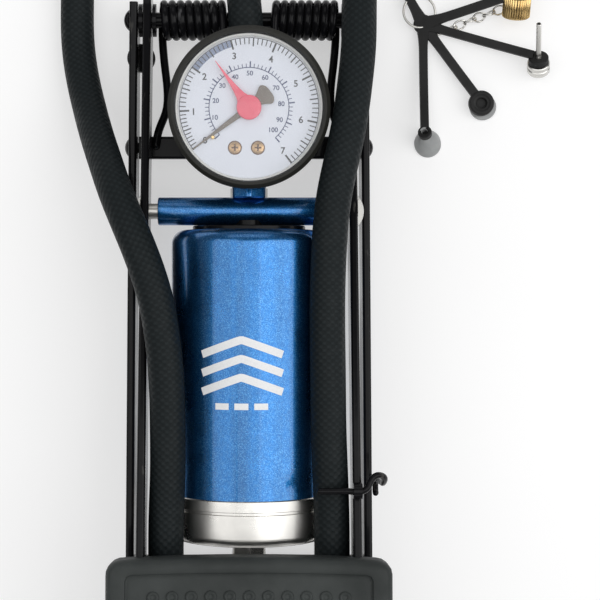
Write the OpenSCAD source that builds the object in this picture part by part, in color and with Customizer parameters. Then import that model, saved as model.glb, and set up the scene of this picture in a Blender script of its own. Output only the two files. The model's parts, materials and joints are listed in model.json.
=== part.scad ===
// Foot air pump, folded: a single cylinder between a base frame and a pedal lever.
// Row frame: origin on the floor under the middle of the frame, +Y towards the hinge, +Z up.

/* [Frame] */
// Distance of the hinge axle from the middle of the pump
hinge_y = 120; // [110:1:130]
// Height of the hinge axle above the floor
hinge_z = 15; // [13:0.5:17]
// Half width over the base rails at the hinge
rail_half_w = 43.4; // [42:0.1:45]
// Splay of each base rail in degrees
rail_splay = 0.4; // [0:0.1:0.6]
// Thickness of the rails and lever arms
bar_t = 3; // [2:0.1:3.2]
// Height of a base rail
rail_h = 18; // [16:1:20]
// Height of the rubber feet
foot_h = 3; // [2:0.5:5]

/* [Lever] */
// Half width over the lever arms
arm_half_w = 38.4; // [37:0.1:39]
// Height of a lever arm
arm_h = 16; // [14:1:17]
// Slope of the folded lever in degrees
lever_slope = 12; // [11.5:0.1:12.5]
// Length of an arm behind the hinge
arm_len = 236; // [225:1:240]

/* [Pedal] */
// Half width of the pedal pad
pedal_half_w = 48; // [44:0.5:50]
// Height of the pad's skirt
pedal_h = 13; // [11:0.5:15]
// Distance from the hinge to the front edge of the pedal
pedal_reach = 188.4; // [186:0.1:192]
// Height of the pad's lower front edge
pedal_z = 60; // [59:0.5:63]

/* [Cylinder] */
// Outside diameter of the barrel
barrel_d = 55; // [50:0.5:56]
// Distance of the cylinder pin behind the hinge
pin_reach = 70.7; // [68:0.1:74]
// Height of the cylinder pin
pin_z = 32.5; // [32:0.1:34]
// Distance of the rod pin behind the hinge
rod_pin_reach = 208; // [205:0.5:212]
// Height of the rod pin
rod_pin_z = 30; // [29:0.5:32]
// Length of the painted barrel
barrel_len = 93.2; // [80:0.1:100]
// Length of the bright end cap
cap_len = 16.1; // [12:0.1:20]

/* [Gauge] */
// Diameter of the gauge bezel
bezel_d = 56.2; // [50:0.1:58]
// Distance of the gauge behind the hinge
gauge_reach = 35.3; // [34:0.1:37]
// Height of the top of the bezel
gauge_top_z = 52.5; // [50:0.5:56]

/* [Hose] */
// Outside diameter of the hose
hose_d = 12.3; // [10:0.1:12.5]

/* [Hidden] */
$fn = 96;
gap = 0.3;              // air between parts that move past each other
run_fit = 0.06;         // radial clearance of a pin in its hole
edge_r = 1;             // rounding of the bars' long edges

axle_r = 3;
pin_r = 2.8;
rod_pin_r = 3;
rod_r = 4;
barrel_r = barrel_d / 2;
bore_r = barrel_r - 1.5;
arm_in = arm_half_w - bar_t;
rail_back = 232;        // the rails' length behind the hinge
rail_front = 6;         // and ahead of it
arm_nose = 3;           // centre of the arm's round nose, ahead of the hinge
front_y = hinge_y + arm_nose * cos(lever_slope) + arm_h / 2;
pedal_front_y = hinge_y - pedal_reach;
pedal_tilt = 3;
pedal_depth = (pedal_front_y + front_y) / cos(pedal_tilt);
plate_t = 2;
pad_t = 4;

rivet_r = 2;
bar_reach = 46.3;       // of the cross bar behind the hinge
bar_z = 11.5;
bar_thick = 4;
bar_w = 8.2;
rod_foot_z = 9.5;         // of the rivets through the end plate
rail_in_at_bar = 40.7;  // half the clear width between the rails, there
end_half = 41.4;        // half the length of the end plate
ear_x = 9.5;

pin_y = hinge_y - pin_reach;
rod_pin_y = hinge_y - rod_pin_reach;
cyl_tilt = atan2(pin_z - rod_pin_z, rod_pin_reach - pin_reach);
rod_pin_at = norm([pin_z - rod_pin_z, rod_pin_reach - pin_reach]);
head_at = 6.6;          // the barrel's head face, behind the cylinder pin
barrel_end = head_at + barrel_len;
cap_end = barrel_end + cap_len;
nipple_z = -12.3;       // below the cylinder's axis

// The rod's eye is oversize: it is the one pivot of the four that is left open.
eye_r = 10.5;
eye_hole_r = 7.5;
eye_shift_y = 2.66;
eye_shift_z = -3.18;

gauge_y = pin_reach - gauge_reach;      // from the cylinder pin, forward
gauge_top = gauge_top_z - pin_z;
bezel_r = bezel_d / 2;
case_r = bezel_r - 1.2;
case_z0 = -2.5;
dial_z = gauge_top - 4.2;
screw_x = [-4.9, 3.1];
screw_y = -13.9;

spring_r = 6;           // of the wire's centre line about the axle
wire_r = 1.4;
spring_turns = 7.5;
coil_outer_x = 31.6;
coil_inner_x = 9.6;

// Route of the hose: x, distance ahead of the hinge, height
// The hose lies in four stretches, one on each part that carries it.
INLET = [[0, -61.5, 20.2], [0, -50, 20.4], [-0.3, -35, 20.6], [-0.6, -20, 21.4], [-1, -4.6, 24.2]];
FLOOR_LOOP = [
    [-1.1, -3, 24.6], [-2.4, 12, 23.2], [-3.6, 28, 16], [-4, 43, 9], [-1.5, 58, 6.6],
    [4.5, 72, 6.3], [12, 87, 6.3], [18, 104, 6.3], [18.6, 122, 6.3], [12, 140, 6.3],
    [-1, 153, 6.3], [-18, 160.5, 6.3], [-36, 162, 6.3], [-54, 157.5, 6.3], [-70, 147, 6.3],
    [-81, 132, 6.3], [-85.5, 114, 6.3], [-83.5, 95, 6.3], [-77, 76, 6.3], [-70.5, 58, 6.3],
    [-66.4, 42, 6.3], [-64.2, 26, 6.3], [-63.6, 12, 6.3], [-63.6, -2, 6.6]
];
MAIN_RUN = [
    [-63.5, -4, 6.7], [-61.8, -18, 9.2], [-58.6, -31, 15], [-54.8, -43, 24.2],
    [-50.7, -54, 34], [-46.4, -65, 42.8], [-41.6, -76, 48.6], [-36.6, -88, 51.6],
    [-32.4, -101, 52.6], [-29.8, -115, 52.8], [-28.4, -130, 52.6], [-28, -146, 52.4],
    [-28, -162, 51.8], [-28.5, -176, 50.8], [-28.7, -189, 49.8], [-29.6, -201, 45.8],
    [-33.2, -212, 42.4], [-35.4, -223, 41.2], [-31, -232, 41], [-22.5, -239, 41],
    [-11.5, -243, 41], [0, -244.2, 41], [11.5, -243, 41], [22.5, -239, 41], [31, -232, 41],
    [35.4, -223, 41.2], [33.2, -212, 42.4], [29.6, -201, 45.8], [28.7, -189, 49.8],
    [28.5, -176, 50.8], [28, -162, 51.8], [27.4, -146, 52.4], [27.2, -130, 52.6],
    [27, -115, 52.8], [27, -100, 52.8], [27.6, -84, 52.6], [29.4, -66, 51.8],
    [32.6, -51, 50.8], [35.2, -38, 49], [36.9, -26, 46.8], [38.2, -14, 44], [38.6, -4, 41.2]
];
END_RUN = [
    [38.7, -2, 40.6], [39.2, 12, 34.8], [39.8, 26, 27], [40.4, 40, 19.4], [41, 53, 13.4],
    [41.7, 64, 10], [42, 75.5, 9.3]
];

hook_r = 1.1;
hook_reach = 167;
hook_pivot = [0, hinge_y - hook_reach, hinge_z + hook_reach * tan(lever_slope) + 11.4];
hook_x = 46.2;          // of the part that hangs outside the rail

chuck = [42, hinge_y + 76, 9.3];        // the connector's rear face, on the hose's axis
chuck_r = 9;
chuck_len = 40;
seal_len = 14;
valve_bore_r = 4;
lever_pivot = [0, 31, 11.6];

strap_z = 1;
strap_t = 2.6;
needle_z = 7.1;         // of the ball needle's axis
brass_z = 9.3;          // of the brass adaptor's axis
strap_hub = [64.3, hinge_y + 1];
cone_at = [66.7, hinge_y - 44.2];
round_at = [86.6, hinge_y - 29.3];
needle_at = [107.6, hinge_y - 16];
brass_at = [97, hinge_y + 3];
strap_tag = [57, hinge_y + 16];
strap_ring_at = [40.7, hinge_y + 47];   // round the hose

steel_black = [0.07, 0.07, 0.08];
pump_blue = [0.05, 0.25, 0.6];
bright = [0.82, 0.82, 0.8];
rubber_black = [0.14, 0.16, 0.17];
brass = [0.75, 0.6, 0.3];

// ---- frames ----
module at_hinge() translate([0, hinge_y, hinge_z]) children();
module on_lever() at_hinge() rotate([-lever_slope, 0, 0]) children();
module on_cylinder() translate([0, pin_y, pin_z]) rotate([cyl_tilt, 0, 0]) children();
module on_pedal() translate([0, pedal_front_y, pedal_z]) rotate([-pedal_tilt, 0, 0]) children();
module on_gauge() on_cylinder() translate([0, gauge_y, 0]) children();
module on_chuck() translate(chuck) children();

// ---- shapes ----
// A cylinder along X, from x0 to x1
module bar_x(r, x0, x1) translate([x0, 0, 0]) rotate([0, 90, 0]) cylinder(h = x1 - x0, r = r);
// A cylinder along Y, from y0 to y1
module bar_y(r, y0, y1) translate([0, y0, 0]) rotate([-90, 0, 0]) cylinder(h = y1 - y0, r = r);
// A ring along X
module ring_x(r, hole, x0, x1) difference() {
    bar_x(r, x0, x1);
    bar_x(hole, x0 - 1, x1 + 1);
}
// A rectangle with round corners
module soft_rect(w, h, r) {
    square([w - 2 * r, h], center = true);
    square([w, h - 2 * r], center = true);
    for (x = [-1, 1], y = [-1, 1]) translate([x * (w / 2 - r), y * (h / 2 - r)]) circle(r, $fn = 32);
}
// A flat bar along Y with soft long edges, its section centred on x = 0, z = 0
module soft_bar(w, h, y0, y1) translate([0, y1, 0]) rotate([90, 0, 0])
    linear_extrude(y1 - y0) soft_rect(w, h, edge_r);
// A body turned about the Y axis from [radius, y] points
module turned_y(points) rotate([-90, 0, 0]) rotate_extrude() polygon(points);
// A dome cap on an X axis, its flat side at x0
module dome_x(r, h, x0) translate([x0, 0, 0]) rotate([0, 90, 0]) rotate_extrude()
    intersection() {
        translate([0, h - (r * r + h * h) / (2 * h)]) circle((r * r + h * h) / (2 * h));
        square([r, h]);
    }

// A tube of n sides through the points: one ring at each, square to the route
function unit(v) = v / norm(v);
function heading(p, i) = unit(p[min(i + 1, len(p) - 1)] - p[max(i - 1, 0)]);
function sweep_ring(p, i, r, n, up) = let (
    t = heading(p, i), a = unit(cross(t, up)), b = cross(a, t)
) [for (k = [0 : n - 1]) p[i] + r * (a * cos(360 * k / n) + b * sin(360 * k / n))];
module tube(p, r, n, up) {
    rings = [for (i = [0 : len(p) - 1]) each sweep_ring(p, i, r, n, up)];
    last = (len(p) - 1) * n;
    polyhedron(rings, concat(
        [[for (k = [0 : n - 1]) n - 1 - k]],
        [for (i = [0 : len(p) - 2], k = [0 : n - 1]) let (
            a = i * n + k, b = i * n + (k + 1) % n
        ) each [[a, b, b + n], [a, b + n, a + n]]],
        [[for (k = [0 : n - 1]) last + k]]
    ));
}
function on_route(points) = [for (p = points) [p[0], hinge_y + p[1], p[2]]];
module hose(points) color(rubber_black) tube(on_route(points), hose_d / 2, 10, [0, 0, 1]);
// A bent wire of straight runs with a slightly fuller ball at each corner and end
module wire(points, r) for (i = [0 : len(points) - 2]) let (
    a = points[i], d = points[i + 1] - a, l = norm(d)
) {
    translate(a) rotate([0, acos(d[2] / l), atan2(d[1], d[0])]) cylinder(h = l, r = r, $fn = 32);
    translate(a) sphere(1.08 * r, $fn = 32);
    translate(points[i + 1]) sphere(1.08 * r, $fn = 32);
}

// ---- base frame ----
module rail() translate([rail_half_w - bar_t / 2, hinge_y, 0]) rotate([0, 0, rail_splay])
    translate([0, 0, foot_h + rail_h / 2]) soft_bar(bar_t, rail_h, -rail_back, rail_front);
module rail_holes() {
    translate([0, hinge_y, hinge_z]) bar_x(axle_r, 30, 60);
    translate([0, rod_pin_y, rod_foot_z]) bar_x(rivet_r, 30, 60);
    translate([0, hinge_y - bar_reach, bar_z]) bar_x(rivet_r, 30, 60);
}
module base_rail_right() color(steel_black) difference() {
    rail();
    rail_holes();
}
module base_rail_left() mirror([1, 0, 0]) base_rail_right();
// Flat bar riveted between the rails: the springs' outer legs bear on it
module base_cross_bar() color(steel_black) translate([0, hinge_y - bar_reach, bar_z]) {
    rotate([0, 0, 90]) rotate([0, 90, 90]) translate([0, 0, -rail_in_at_bar + gap])
        linear_extrude(2 * (rail_in_at_bar - gap)) soft_rect(bar_thick, bar_w, 1);
    for (s = [-1, 1]) mirror([s < 0 ? 1 : 0, 0, 0]) {
        bar_x(rivet_r - run_fit, 39, 44.2);
        dome_x(3.4, 1.5, 44.1);
    }
}
// Pressed plate between the rails with two ears for the rod pin
module base_end_plate() {
    color(steel_black) difference() {
        union() {
            translate([-end_half, rod_pin_y - 11, foot_h]) cube([2 * end_half, 22, 2.5]);
            for (x = [-ear_x - 3, ear_x]) translate([x, rod_pin_y - 9, foot_h + 1])
                cube([3, 18, rod_pin_z - foot_h - 1]);
            translate([0, rod_pin_y, rod_pin_z]) {
                bar_x(9, -ear_x - 3, -ear_x);
                bar_x(9, ear_x, ear_x + 3);
            }
            for (x = [-end_half, end_half - 2]) translate([x, rod_pin_y - 11, foot_h + 1])
                cube([2, 22, 11]);
        }
        translate([0, rod_pin_y, rod_pin_z]) bar_x(rod_pin_r + run_fit, -20, 20);
        translate([0, rod_pin_y, rod_foot_z]) bar_x(rivet_r, -60, 60);
    }
}
module base_rivets() color(steel_black) translate([0, rod_pin_y, rod_foot_z]) for (s = [-1, 1])
    mirror([s < 0 ? 1 : 0, 0, 0]) {
        bar_x(rivet_r - run_fit, 37.4, 45);
        dome_x(3.4, 1.5, 44.9);
        mirror([1, 0, 0]) dome_x(3.4, 1.5, -end_half + 2);
    }
module foot() cylinder(h = foot_h, r = 5.2);
module rubber_feet() color(rubber_black) for (s = [-1, 1]) {
    translate([s * (rail_half_w - 3.2), hinge_y - 12, 0]) foot();
    translate([s * (rail_half_w - 1.8), rod_pin_y, 0]) foot();
}
module hinge_axle() color(steel_black) at_hinge() {
    bar_x(axle_r - run_fit, -rail_half_w - 0.4, rail_half_w + 2);
    mirror([1, 0, 0]) dome_x(3.9, 2, rail_half_w + 0.3);
}
module hinge_axle_cap() color(steel_black) at_hinge() difference() {
    dome_x(4.6, 2.8, rail_half_w + 0.3);
    bar_x(axle_r, rail_half_w, rail_half_w + 2.05);
}
module hinge_washers() color(bright) at_hinge() for (s = [-1, 1]) {
    mirror([s < 0 ? 1 : 0, 0, 0]) {
        ring_x(6, axle_r, arm_half_w + gap, rail_half_w - bar_t - gap);
        ring_x(6, axle_r, arm_in - 1.6, arm_in - gap);
    }
}
// Spring: an outer leg on the cross bar, its turns, and an inner leg under the cross tube
function coil_path() = let (steps = 16, n = spring_turns * steps) concat(
    [[coil_outer_x + 0.9, -bar_reach + 1, bar_z + bar_thick / 2 + wire_r + gap - hinge_z],
     [coil_outer_x - 1.4, -33, -1.6], [coil_outer_x, -12, -5]],
    [for (i = [0 : n]) let (a = -90 + 360 * i / steps)
        [coil_outer_x - (coil_outer_x - coil_inner_x) * i / n,
         spring_r * cos(a), spring_r * sin(a)]],
    [[coil_inner_x, -12, 6.6], [coil_inner_x, -40, 8.6], [coil_inner_x, -64, 9.6]]
);
module torsion_spring_right() color(steel_black) at_hinge() tube(coil_path(), wire_r, 8, [1, 0, 0]);
module torsion_spring_left() mirror([1, 0, 0]) torsion_spring_right();
module rod_pin() color(bright) translate([0, rod_pin_y, rod_pin_z]) {
    bar_x(rod_pin_r, -14.6, 14.6);
}
module rod_pin_clips() color(bright) translate([0, rod_pin_y, rod_pin_z]) for (x = [-14.2, 13.2])
    ring_x(5, rod_pin_r, x, x + 1);

// ---- lever ----
module arm() translate([arm_half_w - bar_t / 2, 0, 0]) intersection() {
    soft_bar(bar_t, arm_h, -arm_len, arm_nose + arm_h);
    union() {
        translate([0, arm_nose, 0]) bar_x(arm_h / 2, -bar_t, bar_t);
        translate([-bar_t, -arm_len, -arm_h]) cube([2 * bar_t, arm_len + arm_nose, 2 * arm_h]);
    }
}
module under_plate() on_pedal() translate([-80, -90, pedal_h - pad_t - plate_t]) cube([160, 120, 60]);
module lever_arm_right() color(steel_black) difference() {
    on_lever() arm();
    at_hinge() bar_x(axle_r, 30, 60);
    translate([0, pin_y, pin_z]) bar_x(pin_r, 30, 60);
    under_plate();
}
module lever_arm_left() mirror([1, 0, 0]) lever_arm_right();
module lever_end_bar() color(steel_black) on_lever() translate([0, -arm_len + 8, 0])
    rotate([0, 0, 90]) soft_bar(bar_t, 11, -arm_in, arm_in);
module pad_outline(inset) translate([0, -(pedal_depth) / 2])
    soft_rect(2 * (pedal_half_w - inset), pedal_depth - 2 * inset, 8 - inset);
module pedal_plate() color(steel_black) on_pedal() difference() {
    translate([0, 0, pedal_h - pad_t - plate_t]) linear_extrude(plate_t) pad_outline(3.4);
    for (x = [-30, 30], y = [-14, -48]) translate([x, y, 0]) cylinder(h = 40, r = 2, $fn = 48);
}
module pedal_pad() color(rubber_black) difference() {
    on_pedal() difference() {
        hull() {
            linear_extrude(1) pad_outline(0);
            translate([0, 0, pedal_h - 2.5]) linear_extrude(0.5) pad_outline(1);
            translate([0, 0, pedal_h - 0.6]) linear_extrude(0.6) pad_outline(2.6);
        }
        translate([0, 0, -1]) linear_extrude(pedal_h - pad_t + 1) pad_outline(3.1);
        translate([0, 0, pedal_h - 0.8]) linear_extrude(2) pad_outline(7);
    }
    for (s = [-1, 1]) translate([s * (arm_half_w - bar_t / 2), pedal_front_y, pedal_z - 2])
        cube([bar_t + 2 * gap, 14, 16], center = true);
}
module pedal_rivets() color(bright) on_pedal() for (x = [-30, 30], y = [-14, -48])
    translate([x, y, pedal_h - pad_t - plate_t - 1.4]) {
        cylinder(h = plate_t + 1.4, r = 2, $fn = 48);
        cylinder(h = 1.4, r = 3.6, $fn = 48);
    }
module cylinder_pin() color(bright) translate([0, pin_y, pin_z])
    bar_x(pin_r, -arm_half_w - 1.4, arm_half_w + 1.4);
module pin_caps() color(bright) translate([0, pin_y, pin_z]) for (s = [-1, 1])
    mirror([s < 0 ? 1 : 0, 0, 0]) difference() {
        dome_x(5.8, 2.4, arm_half_w);
        bar_x(pin_r, 0, arm_half_w + 1.45);
    }

// ---- transport hook ----
module hook_saddle() color(steel_black) translate(hook_pivot) difference() {
    union() {
        bar_x(2.6, arm_in, arm_half_w);
        translate([arm_in, -2.6, -3.6]) cube([bar_t, 5.2, 3.6]);
    }
    bar_x(hook_r + 0.1, 20, 60);
    translate(-hook_pivot) on_lever() arm();
}
module latch_hook() color(steel_black) translate(hook_pivot) {
    bar_x(hook_r, 24, 40);
    wire([[40, 0, 0], [hook_x, 5.3, -1.7], [hook_x, 1.7, -7.9], [hook_x, 0.3, -43.1],
          [hook_x, -4.7, -48.3], [hook_x, -9.1, -44.7]], hook_r);
}

// ---- cylinder ----
module barrel() color(pump_blue) on_cylinder() difference() {
    turned_y(concat(
        [[0, -head_at]],
        [for (a = [0 : 10 : 90]) [barrel_r - 5 + 5 * sin(a), -head_at - 5 + 5 * cos(a)]],
        [[barrel_r, -barrel_end - 4.2], [0, -barrel_end - 4.2]]
    ));
    bar_y(bore_r, -barrel_end - 10, -head_at - 2.5);
    translate([0, 0, nipple_z]) bar_y(2, -head_at - 10, -head_at + 10);
}
module cross_tube() color(pump_blue) on_cylinder() difference() {
    union() {
        bar_x(5, -32.3, 32.3);
        bar_y(5.4, -head_at, 0);
    }
    bar_x(pin_r + run_fit, -40, 40);
}
module end_cap() color(bright) on_cylinder() difference() {
    r = barrel_r + 0.7;
    turned_y(concat(
        [[0, -barrel_end], [r - 0.3, -barrel_end], [r, -barrel_end - 0.3],
         [r, -barrel_end - 3.8], [r - 0.4, -barrel_end - 4], [r - 0.4, -barrel_end - 4.8],
         [r, -barrel_end - 5]],
        [for (a = [90 : 10 : 180]) [r - 3 + 3 * sin(a), -cap_end + 3 + 3 * cos(a)]],
        [[0, -cap_end]]
    ));
    bar_y(barrel_r, -barrel_end - 4.2 - 0.8, -barrel_end + 1);
    bar_y(bore_r, -cap_end + 2.5, -barrel_end);
    bar_y(5.8, -cap_end - 1, -cap_end + 5);
}
module cap_gasket() color(rubber_black) on_cylinder() difference() {
    bar_y(barrel_r, -barrel_end - 5, -barrel_end - 4.2);
    bar_y(bore_r, -barrel_end - 6, -barrel_end);
}
module rod_guide_bush() color(bright) on_cylinder() difference() {
    union() {
        bar_y(5.8, -cap_end - 3.4, -cap_end + 2.5);
        bar_y(8, -cap_end + 2.5, -cap_end + 4.5);
    }
    bar_y(rod_r + run_fit, -cap_end - 5, -cap_end + 6);
}
// The outlet: a nipple with its check valve, under the cross tube
module outlet_nipple() color(brass) on_cylinder() translate([0, 0, nipple_z]) difference() {
    union() {
        bar_y(5, -head_at, -head_at + 4);
        bar_y(2.9, -head_at + 4, 8.6);
    }
    bar_y(2.4, -head_at + 0.6, 1);
    bar_y(1.2, -head_at - 1, 10);
}
module valve_ball() color(bright) on_cylinder() translate([0, -head_at + 2.8, nipple_z])
    sphere(2, $fn = 48);
module valve_spring() color(bright) on_cylinder() translate([0, 0, nipple_z]) difference() {
    bar_y(2.1, -head_at + 5, 0.8);
    bar_y(1.5, -head_at + 4, 2);
}
module hose_ferrule() color(bright) on_cylinder() translate([0, 0, nipple_z]) difference() {
    bar_y(6.8, -head_at + 4, 8.6);
    bar_y(2.9, -head_at, 9);
}

// ---- gauge ----
module gauge_stem() color(pump_blue) on_cylinder() difference() {
    translate([0, 0, 1.5]) bar_y(6.85, 2, gauge_y - case_r + 3);
    bar_x(5, -40, 40);
    translate([0, gauge_y, 0]) cylinder(h = 60, r = case_r, center = true);
}
module gauge_case() color([0.2, 0.19, 0.17]) on_gauge() difference() {
    translate([0, 0, case_z0]) rotate_extrude() polygon([
        [0, 0], [case_r - 2, 0], [case_r, 2], [case_r, gauge_top - case_z0 - 5],
        [0, gauge_top - case_z0 - 5]
    ]);
    translate([0, 0, case_z0 + 2]) cylinder(h = 60, r = case_r - 2);
}
module gauge_bezel() color([0.2, 0.19, 0.17]) on_gauge() rotate_extrude() polygon([
    [case_r - 2, gauge_top - 5], [bezel_r, gauge_top - 5], [bezel_r, gauge_top - 1.2],
    [bezel_r - 1.2, gauge_top], [bezel_r - 2.2, gauge_top], [25.4, gauge_top - 1.1],
    [25.4, gauge_top - 2.8], [case_r - 2, gauge_top - 2.8]
]);
module gauge_lens() color([0.9, 0.95, 1, 0.3]) on_gauge() translate([0, 0, gauge_top - 1.9])
    cylinder(h = 0.8, r = 25.4);
module gauge_dial() color([0.95, 0.95, 0.93]) on_gauge() difference() {
    translate([0, 0, dial_z - 1]) cylinder(h = 1, r = case_r - 2);
    translate([0, 0, dial_z - 5]) cylinder(h = 10, r = 1.2);
    for (x = screw_x) translate([x, screw_y, dial_z - 5]) cylinder(h = 10, r = 1, $fn = 32);
}
// Curved Bourdon tube on its socket, with the needle's spindle post
module gauge_movement() color(brass) on_gauge() {
    translate([0, 0, 7]) rotate([0, 0, -45]) rotate_extrude(angle = 270) translate([17, 0])
        soft_rect(3, 7, 1);
    translate([-5, -case_r + 2.9, case_z0 + 2]) cube([10, 12, 11]);
    translate([0, 0, case_z0 + 2]) cylinder(h = dial_z - 1.4 - case_z0 - 2, r = 2.4);
}
module dial_screws() color(brass) on_gauge() for (x = screw_x) translate([x, screw_y, dial_z]) {
    difference() {
        cylinder(h = 0.7, r = 2.1, $fn = 48);
        for (a = [0, 90]) rotate([0, 0, a]) translate([0, 0, 0.7]) cube([2.6, 0.5, 0.7], center = true);
    }
    translate([0, 0, -1]) cylinder(h = 1, r = 0.94, $fn = 32);
}
// A pointer: a tapering blade at an angle with a tail, z0 to z1
module blade(angle, tip, tail, w, z0, z1) rotate([0, 0, angle]) translate([0, 0, z0])
    linear_extrude(z1 - z0) polygon([[-tail, -w], [0, -w * 0.8], [tip, -0.25], [tip, 0.25],
                                     [0, w * 0.8], [-tail, w]]);
module pressure_needle() color([0.4, 0.34, 0.28]) on_gauge() {
    blade(216.6, 24.4, 9, 1.6, dial_z + 0.5, dial_z + 0.8);
    translate([0, 0, dial_z - 1]) cylinder(h = 1.8, r = 1.1);
}
module marker_pointer() color([0.9, 0.3, 0.4]) on_gauge() {
    blade(126, 19.8, 3, 1.9, dial_z + 1.1, dial_z + 1.5);
    translate([0, 0, dial_z + 1.1]) cylinder(h = 0.9, r = 4.3);
}

// ---- piston and rod ----
module piston_rod() color(bright) on_cylinder() difference() {
    union() {
        bar_y(rod_r, -rod_pin_at + 8, -12.5);
        bar_y(2.5, -12.5, -9.8);
        translate([0, -rod_pin_at + eye_shift_y, eye_shift_z]) bar_x(eye_r, -6, 6);
    }
    translate([0, -rod_pin_at + eye_shift_y, eye_shift_z]) bar_x(eye_hole_r, -20, 20);
}
module on_rod(r, y0, y1, hole) color(rubber_black) on_cylinder() difference() {
    bar_y(r, y0, y1);
    bar_y(hole, y0 - 1, y1 + 1);
}
module rod_bumper() on_rod(9, -28, -22, rod_r);
module piston() color(bright) on_rod(bore_r - 0.6, -22, -18, rod_r);
module piston_cup() color(rubber_black) on_cylinder() difference() {
    bar_y(bore_r - run_fit, -18, -13);
    bar_y(bore_r - 1.6, -16, -10);
    bar_y(rod_r, -20, -10);
}
module piston_nut() color(bright) on_cylinder() difference() {
    translate([0, -12.5, 0]) rotate([-90, 0, 0]) cylinder(h = 2.7, r = 5, $fn = 6);
    bar_y(2.5, -14, -8);
}

// ---- hose and connector ----
module hose_inlet() hose(INLET);
module hose_floor_loop() hose(FLOOR_LOOP);
module hose_main_run() hose(MAIN_RUN);
module hose_end_run() hose(END_RUN);
module connector_body() color([0.16, 0.16, 0.17]) on_chuck() difference() {
    union() {
        bar_y(7.4, 0, 14);
        bar_y(chuck_r, 8, chuck_len);
        for (s = [-1, 1]) translate([s * 6 - 1.5, lever_pivot[1] - 5, 4])
            cube([3, 10, lever_pivot[2] + 2]);
    }
    bar_y(6.6, chuck_len - seal_len, chuck_len + 1);
    bar_y(1.6, 4, chuck_len);
    translate(lever_pivot) bar_x(1.5, -20, 20);
    translate([-4.5, lever_pivot[1] - 9, 6.9]) cube([9, 18, 20]);
}
module connector_seal() color(rubber_black) on_chuck() difference() {
    bar_y(6.6, chuck_len - seal_len, chuck_len);
    bar_y(valve_bore_r, 0, chuck_len + 1);
}
module connector_lever() color(bright) on_chuck() difference() {
    union() {
        translate(lever_pivot) bar_x(3.4, -4, 4);
        translate([-4, lever_pivot[1] - 36, lever_pivot[2] + 1.2]) cube([8, 37, 2.2]);
        translate([-5.5, lever_pivot[1] - 38, lever_pivot[2] + 1.2]) cube([11, 9, 2.2]);
    }
    translate(lever_pivot) bar_x(1.5 + run_fit, -20, 20);
}
module connector_pin() color(bright) on_chuck() translate(lever_pivot) bar_x(1.5, -7.8, 7.8);

// ---- adaptors on their strap ----
module strap_arm(to, eye, hole) {
    d = to - strap_hub;
    translate(strap_hub) rotate([0, 0, atan2(d[1], d[0])])
        translate([0, -1.6]) square([norm(d) - hole - 0.4, 3.2]);
    translate(to) circle(eye);
}
module adaptor_strap() color(rubber_black) translate([0, 0, strap_z]) linear_extrude(strap_t)
    difference() {
        union() {
            translate(strap_hub) circle(4.2);
            strap_arm(cone_at, 5, 3.4);
            strap_arm(round_at, 5, 3.4);
            strap_arm(needle_at, 4.6, 3);
            strap_arm(brass_at, 5, 3.4);
            strap_arm(strap_tag, 4.4, 2.4);
        }
        translate(cone_at) circle(3.4);
        translate(round_at) circle(3.4);
        translate(needle_at) circle(3);
        translate(brass_at) circle(3.4);
        translate(strap_tag) circle(2.4);
    }
// Chain of wire links from the strap to a ring round the hose
module strap_chain() color(bright) {
    a = [strap_tag[0], strap_tag[1], strap_z + strap_t + 1];
    b = [strap_ring_at[0] + 8.6, strap_ring_at[1] - 2, 12.4];
    links = 8;
    for (i = [0 : links - 1]) let (p = a + (b - a) * (i + 0.5) / links, d = b - a)
        translate(p) rotate([0, 0, atan2(d[1], d[0])]) rotate([i % 2 == 0 ? 30 : -60, 0, 0])
            rotate_extrude($fn = 32) translate([2.3, 0]) circle(0.45, $fn = 16);
    translate([strap_ring_at[0], strap_ring_at[1], 16.2]) rotate([90 - 27, 0, 0])
        rotate_extrude() translate([hose_d / 2 + 1.4, 0]) circle(0.8, $fn = 24);
}
module cone_nozzle() color([0.6, 0.6, 0.6, 0.8]) translate([cone_at[0], cone_at[1], 0]) difference() {
    rotate_extrude() polygon([
        [0, 0], [5, 0], [5, strap_z], [3.4, strap_z], [3.4, strap_z + strap_t],
        [5, strap_z + strap_t], [5, 6], [2.2, 17], [0, 17]
    ]);
    translate([0, 0, -1]) cylinder(h = 30, r = 1.3);
}
module round_nozzle() color(rubber_black) translate([round_at[0], round_at[1], 0]) difference() {
    rotate_extrude() polygon([
        [0, 0], [5.2, 0], [5.2, strap_z], [3.4, strap_z], [3.4, strap_z + strap_t],
        [5.2, strap_z + strap_t], [5.2, 5], [4.7, 6.5], [4.7, 12], [3.5, 13.5], [0, 13.5]
    ]);
    translate([0, 0, 4]) cylinder(h = 30, r = 2);
}
// The needle lies on the floor, its threaded base through the strap's ring
module ball_needle() color(bright) translate([needle_at[0], needle_at[1], needle_z]) rotate([0, 0, 8])
    difference() {
        union() {
            translate([0, 0, strap_z - needle_z]) cylinder(h = 5, r = 3);
            bar_y(3.4, -4.2, 3);
            bar_y(0.95, 2, 16);
        }
        bar_y(0.5, 10, 20);
    }
module brass_adaptor() color(brass) translate([brass_at[0], brass_at[1], 0]) {
    translate([0, 0, strap_z]) cylinder(h = strap_t + 2, r = 3.4);
    translate([0, 0, brass_z]) rotate([0, 0, -20]) difference() {
        union() {
            bar_y(5.6, -3, 6);
            bar_y(4, 6, 11);
        }
        bar_y(2.6, 2, 20);
    }
}

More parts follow.
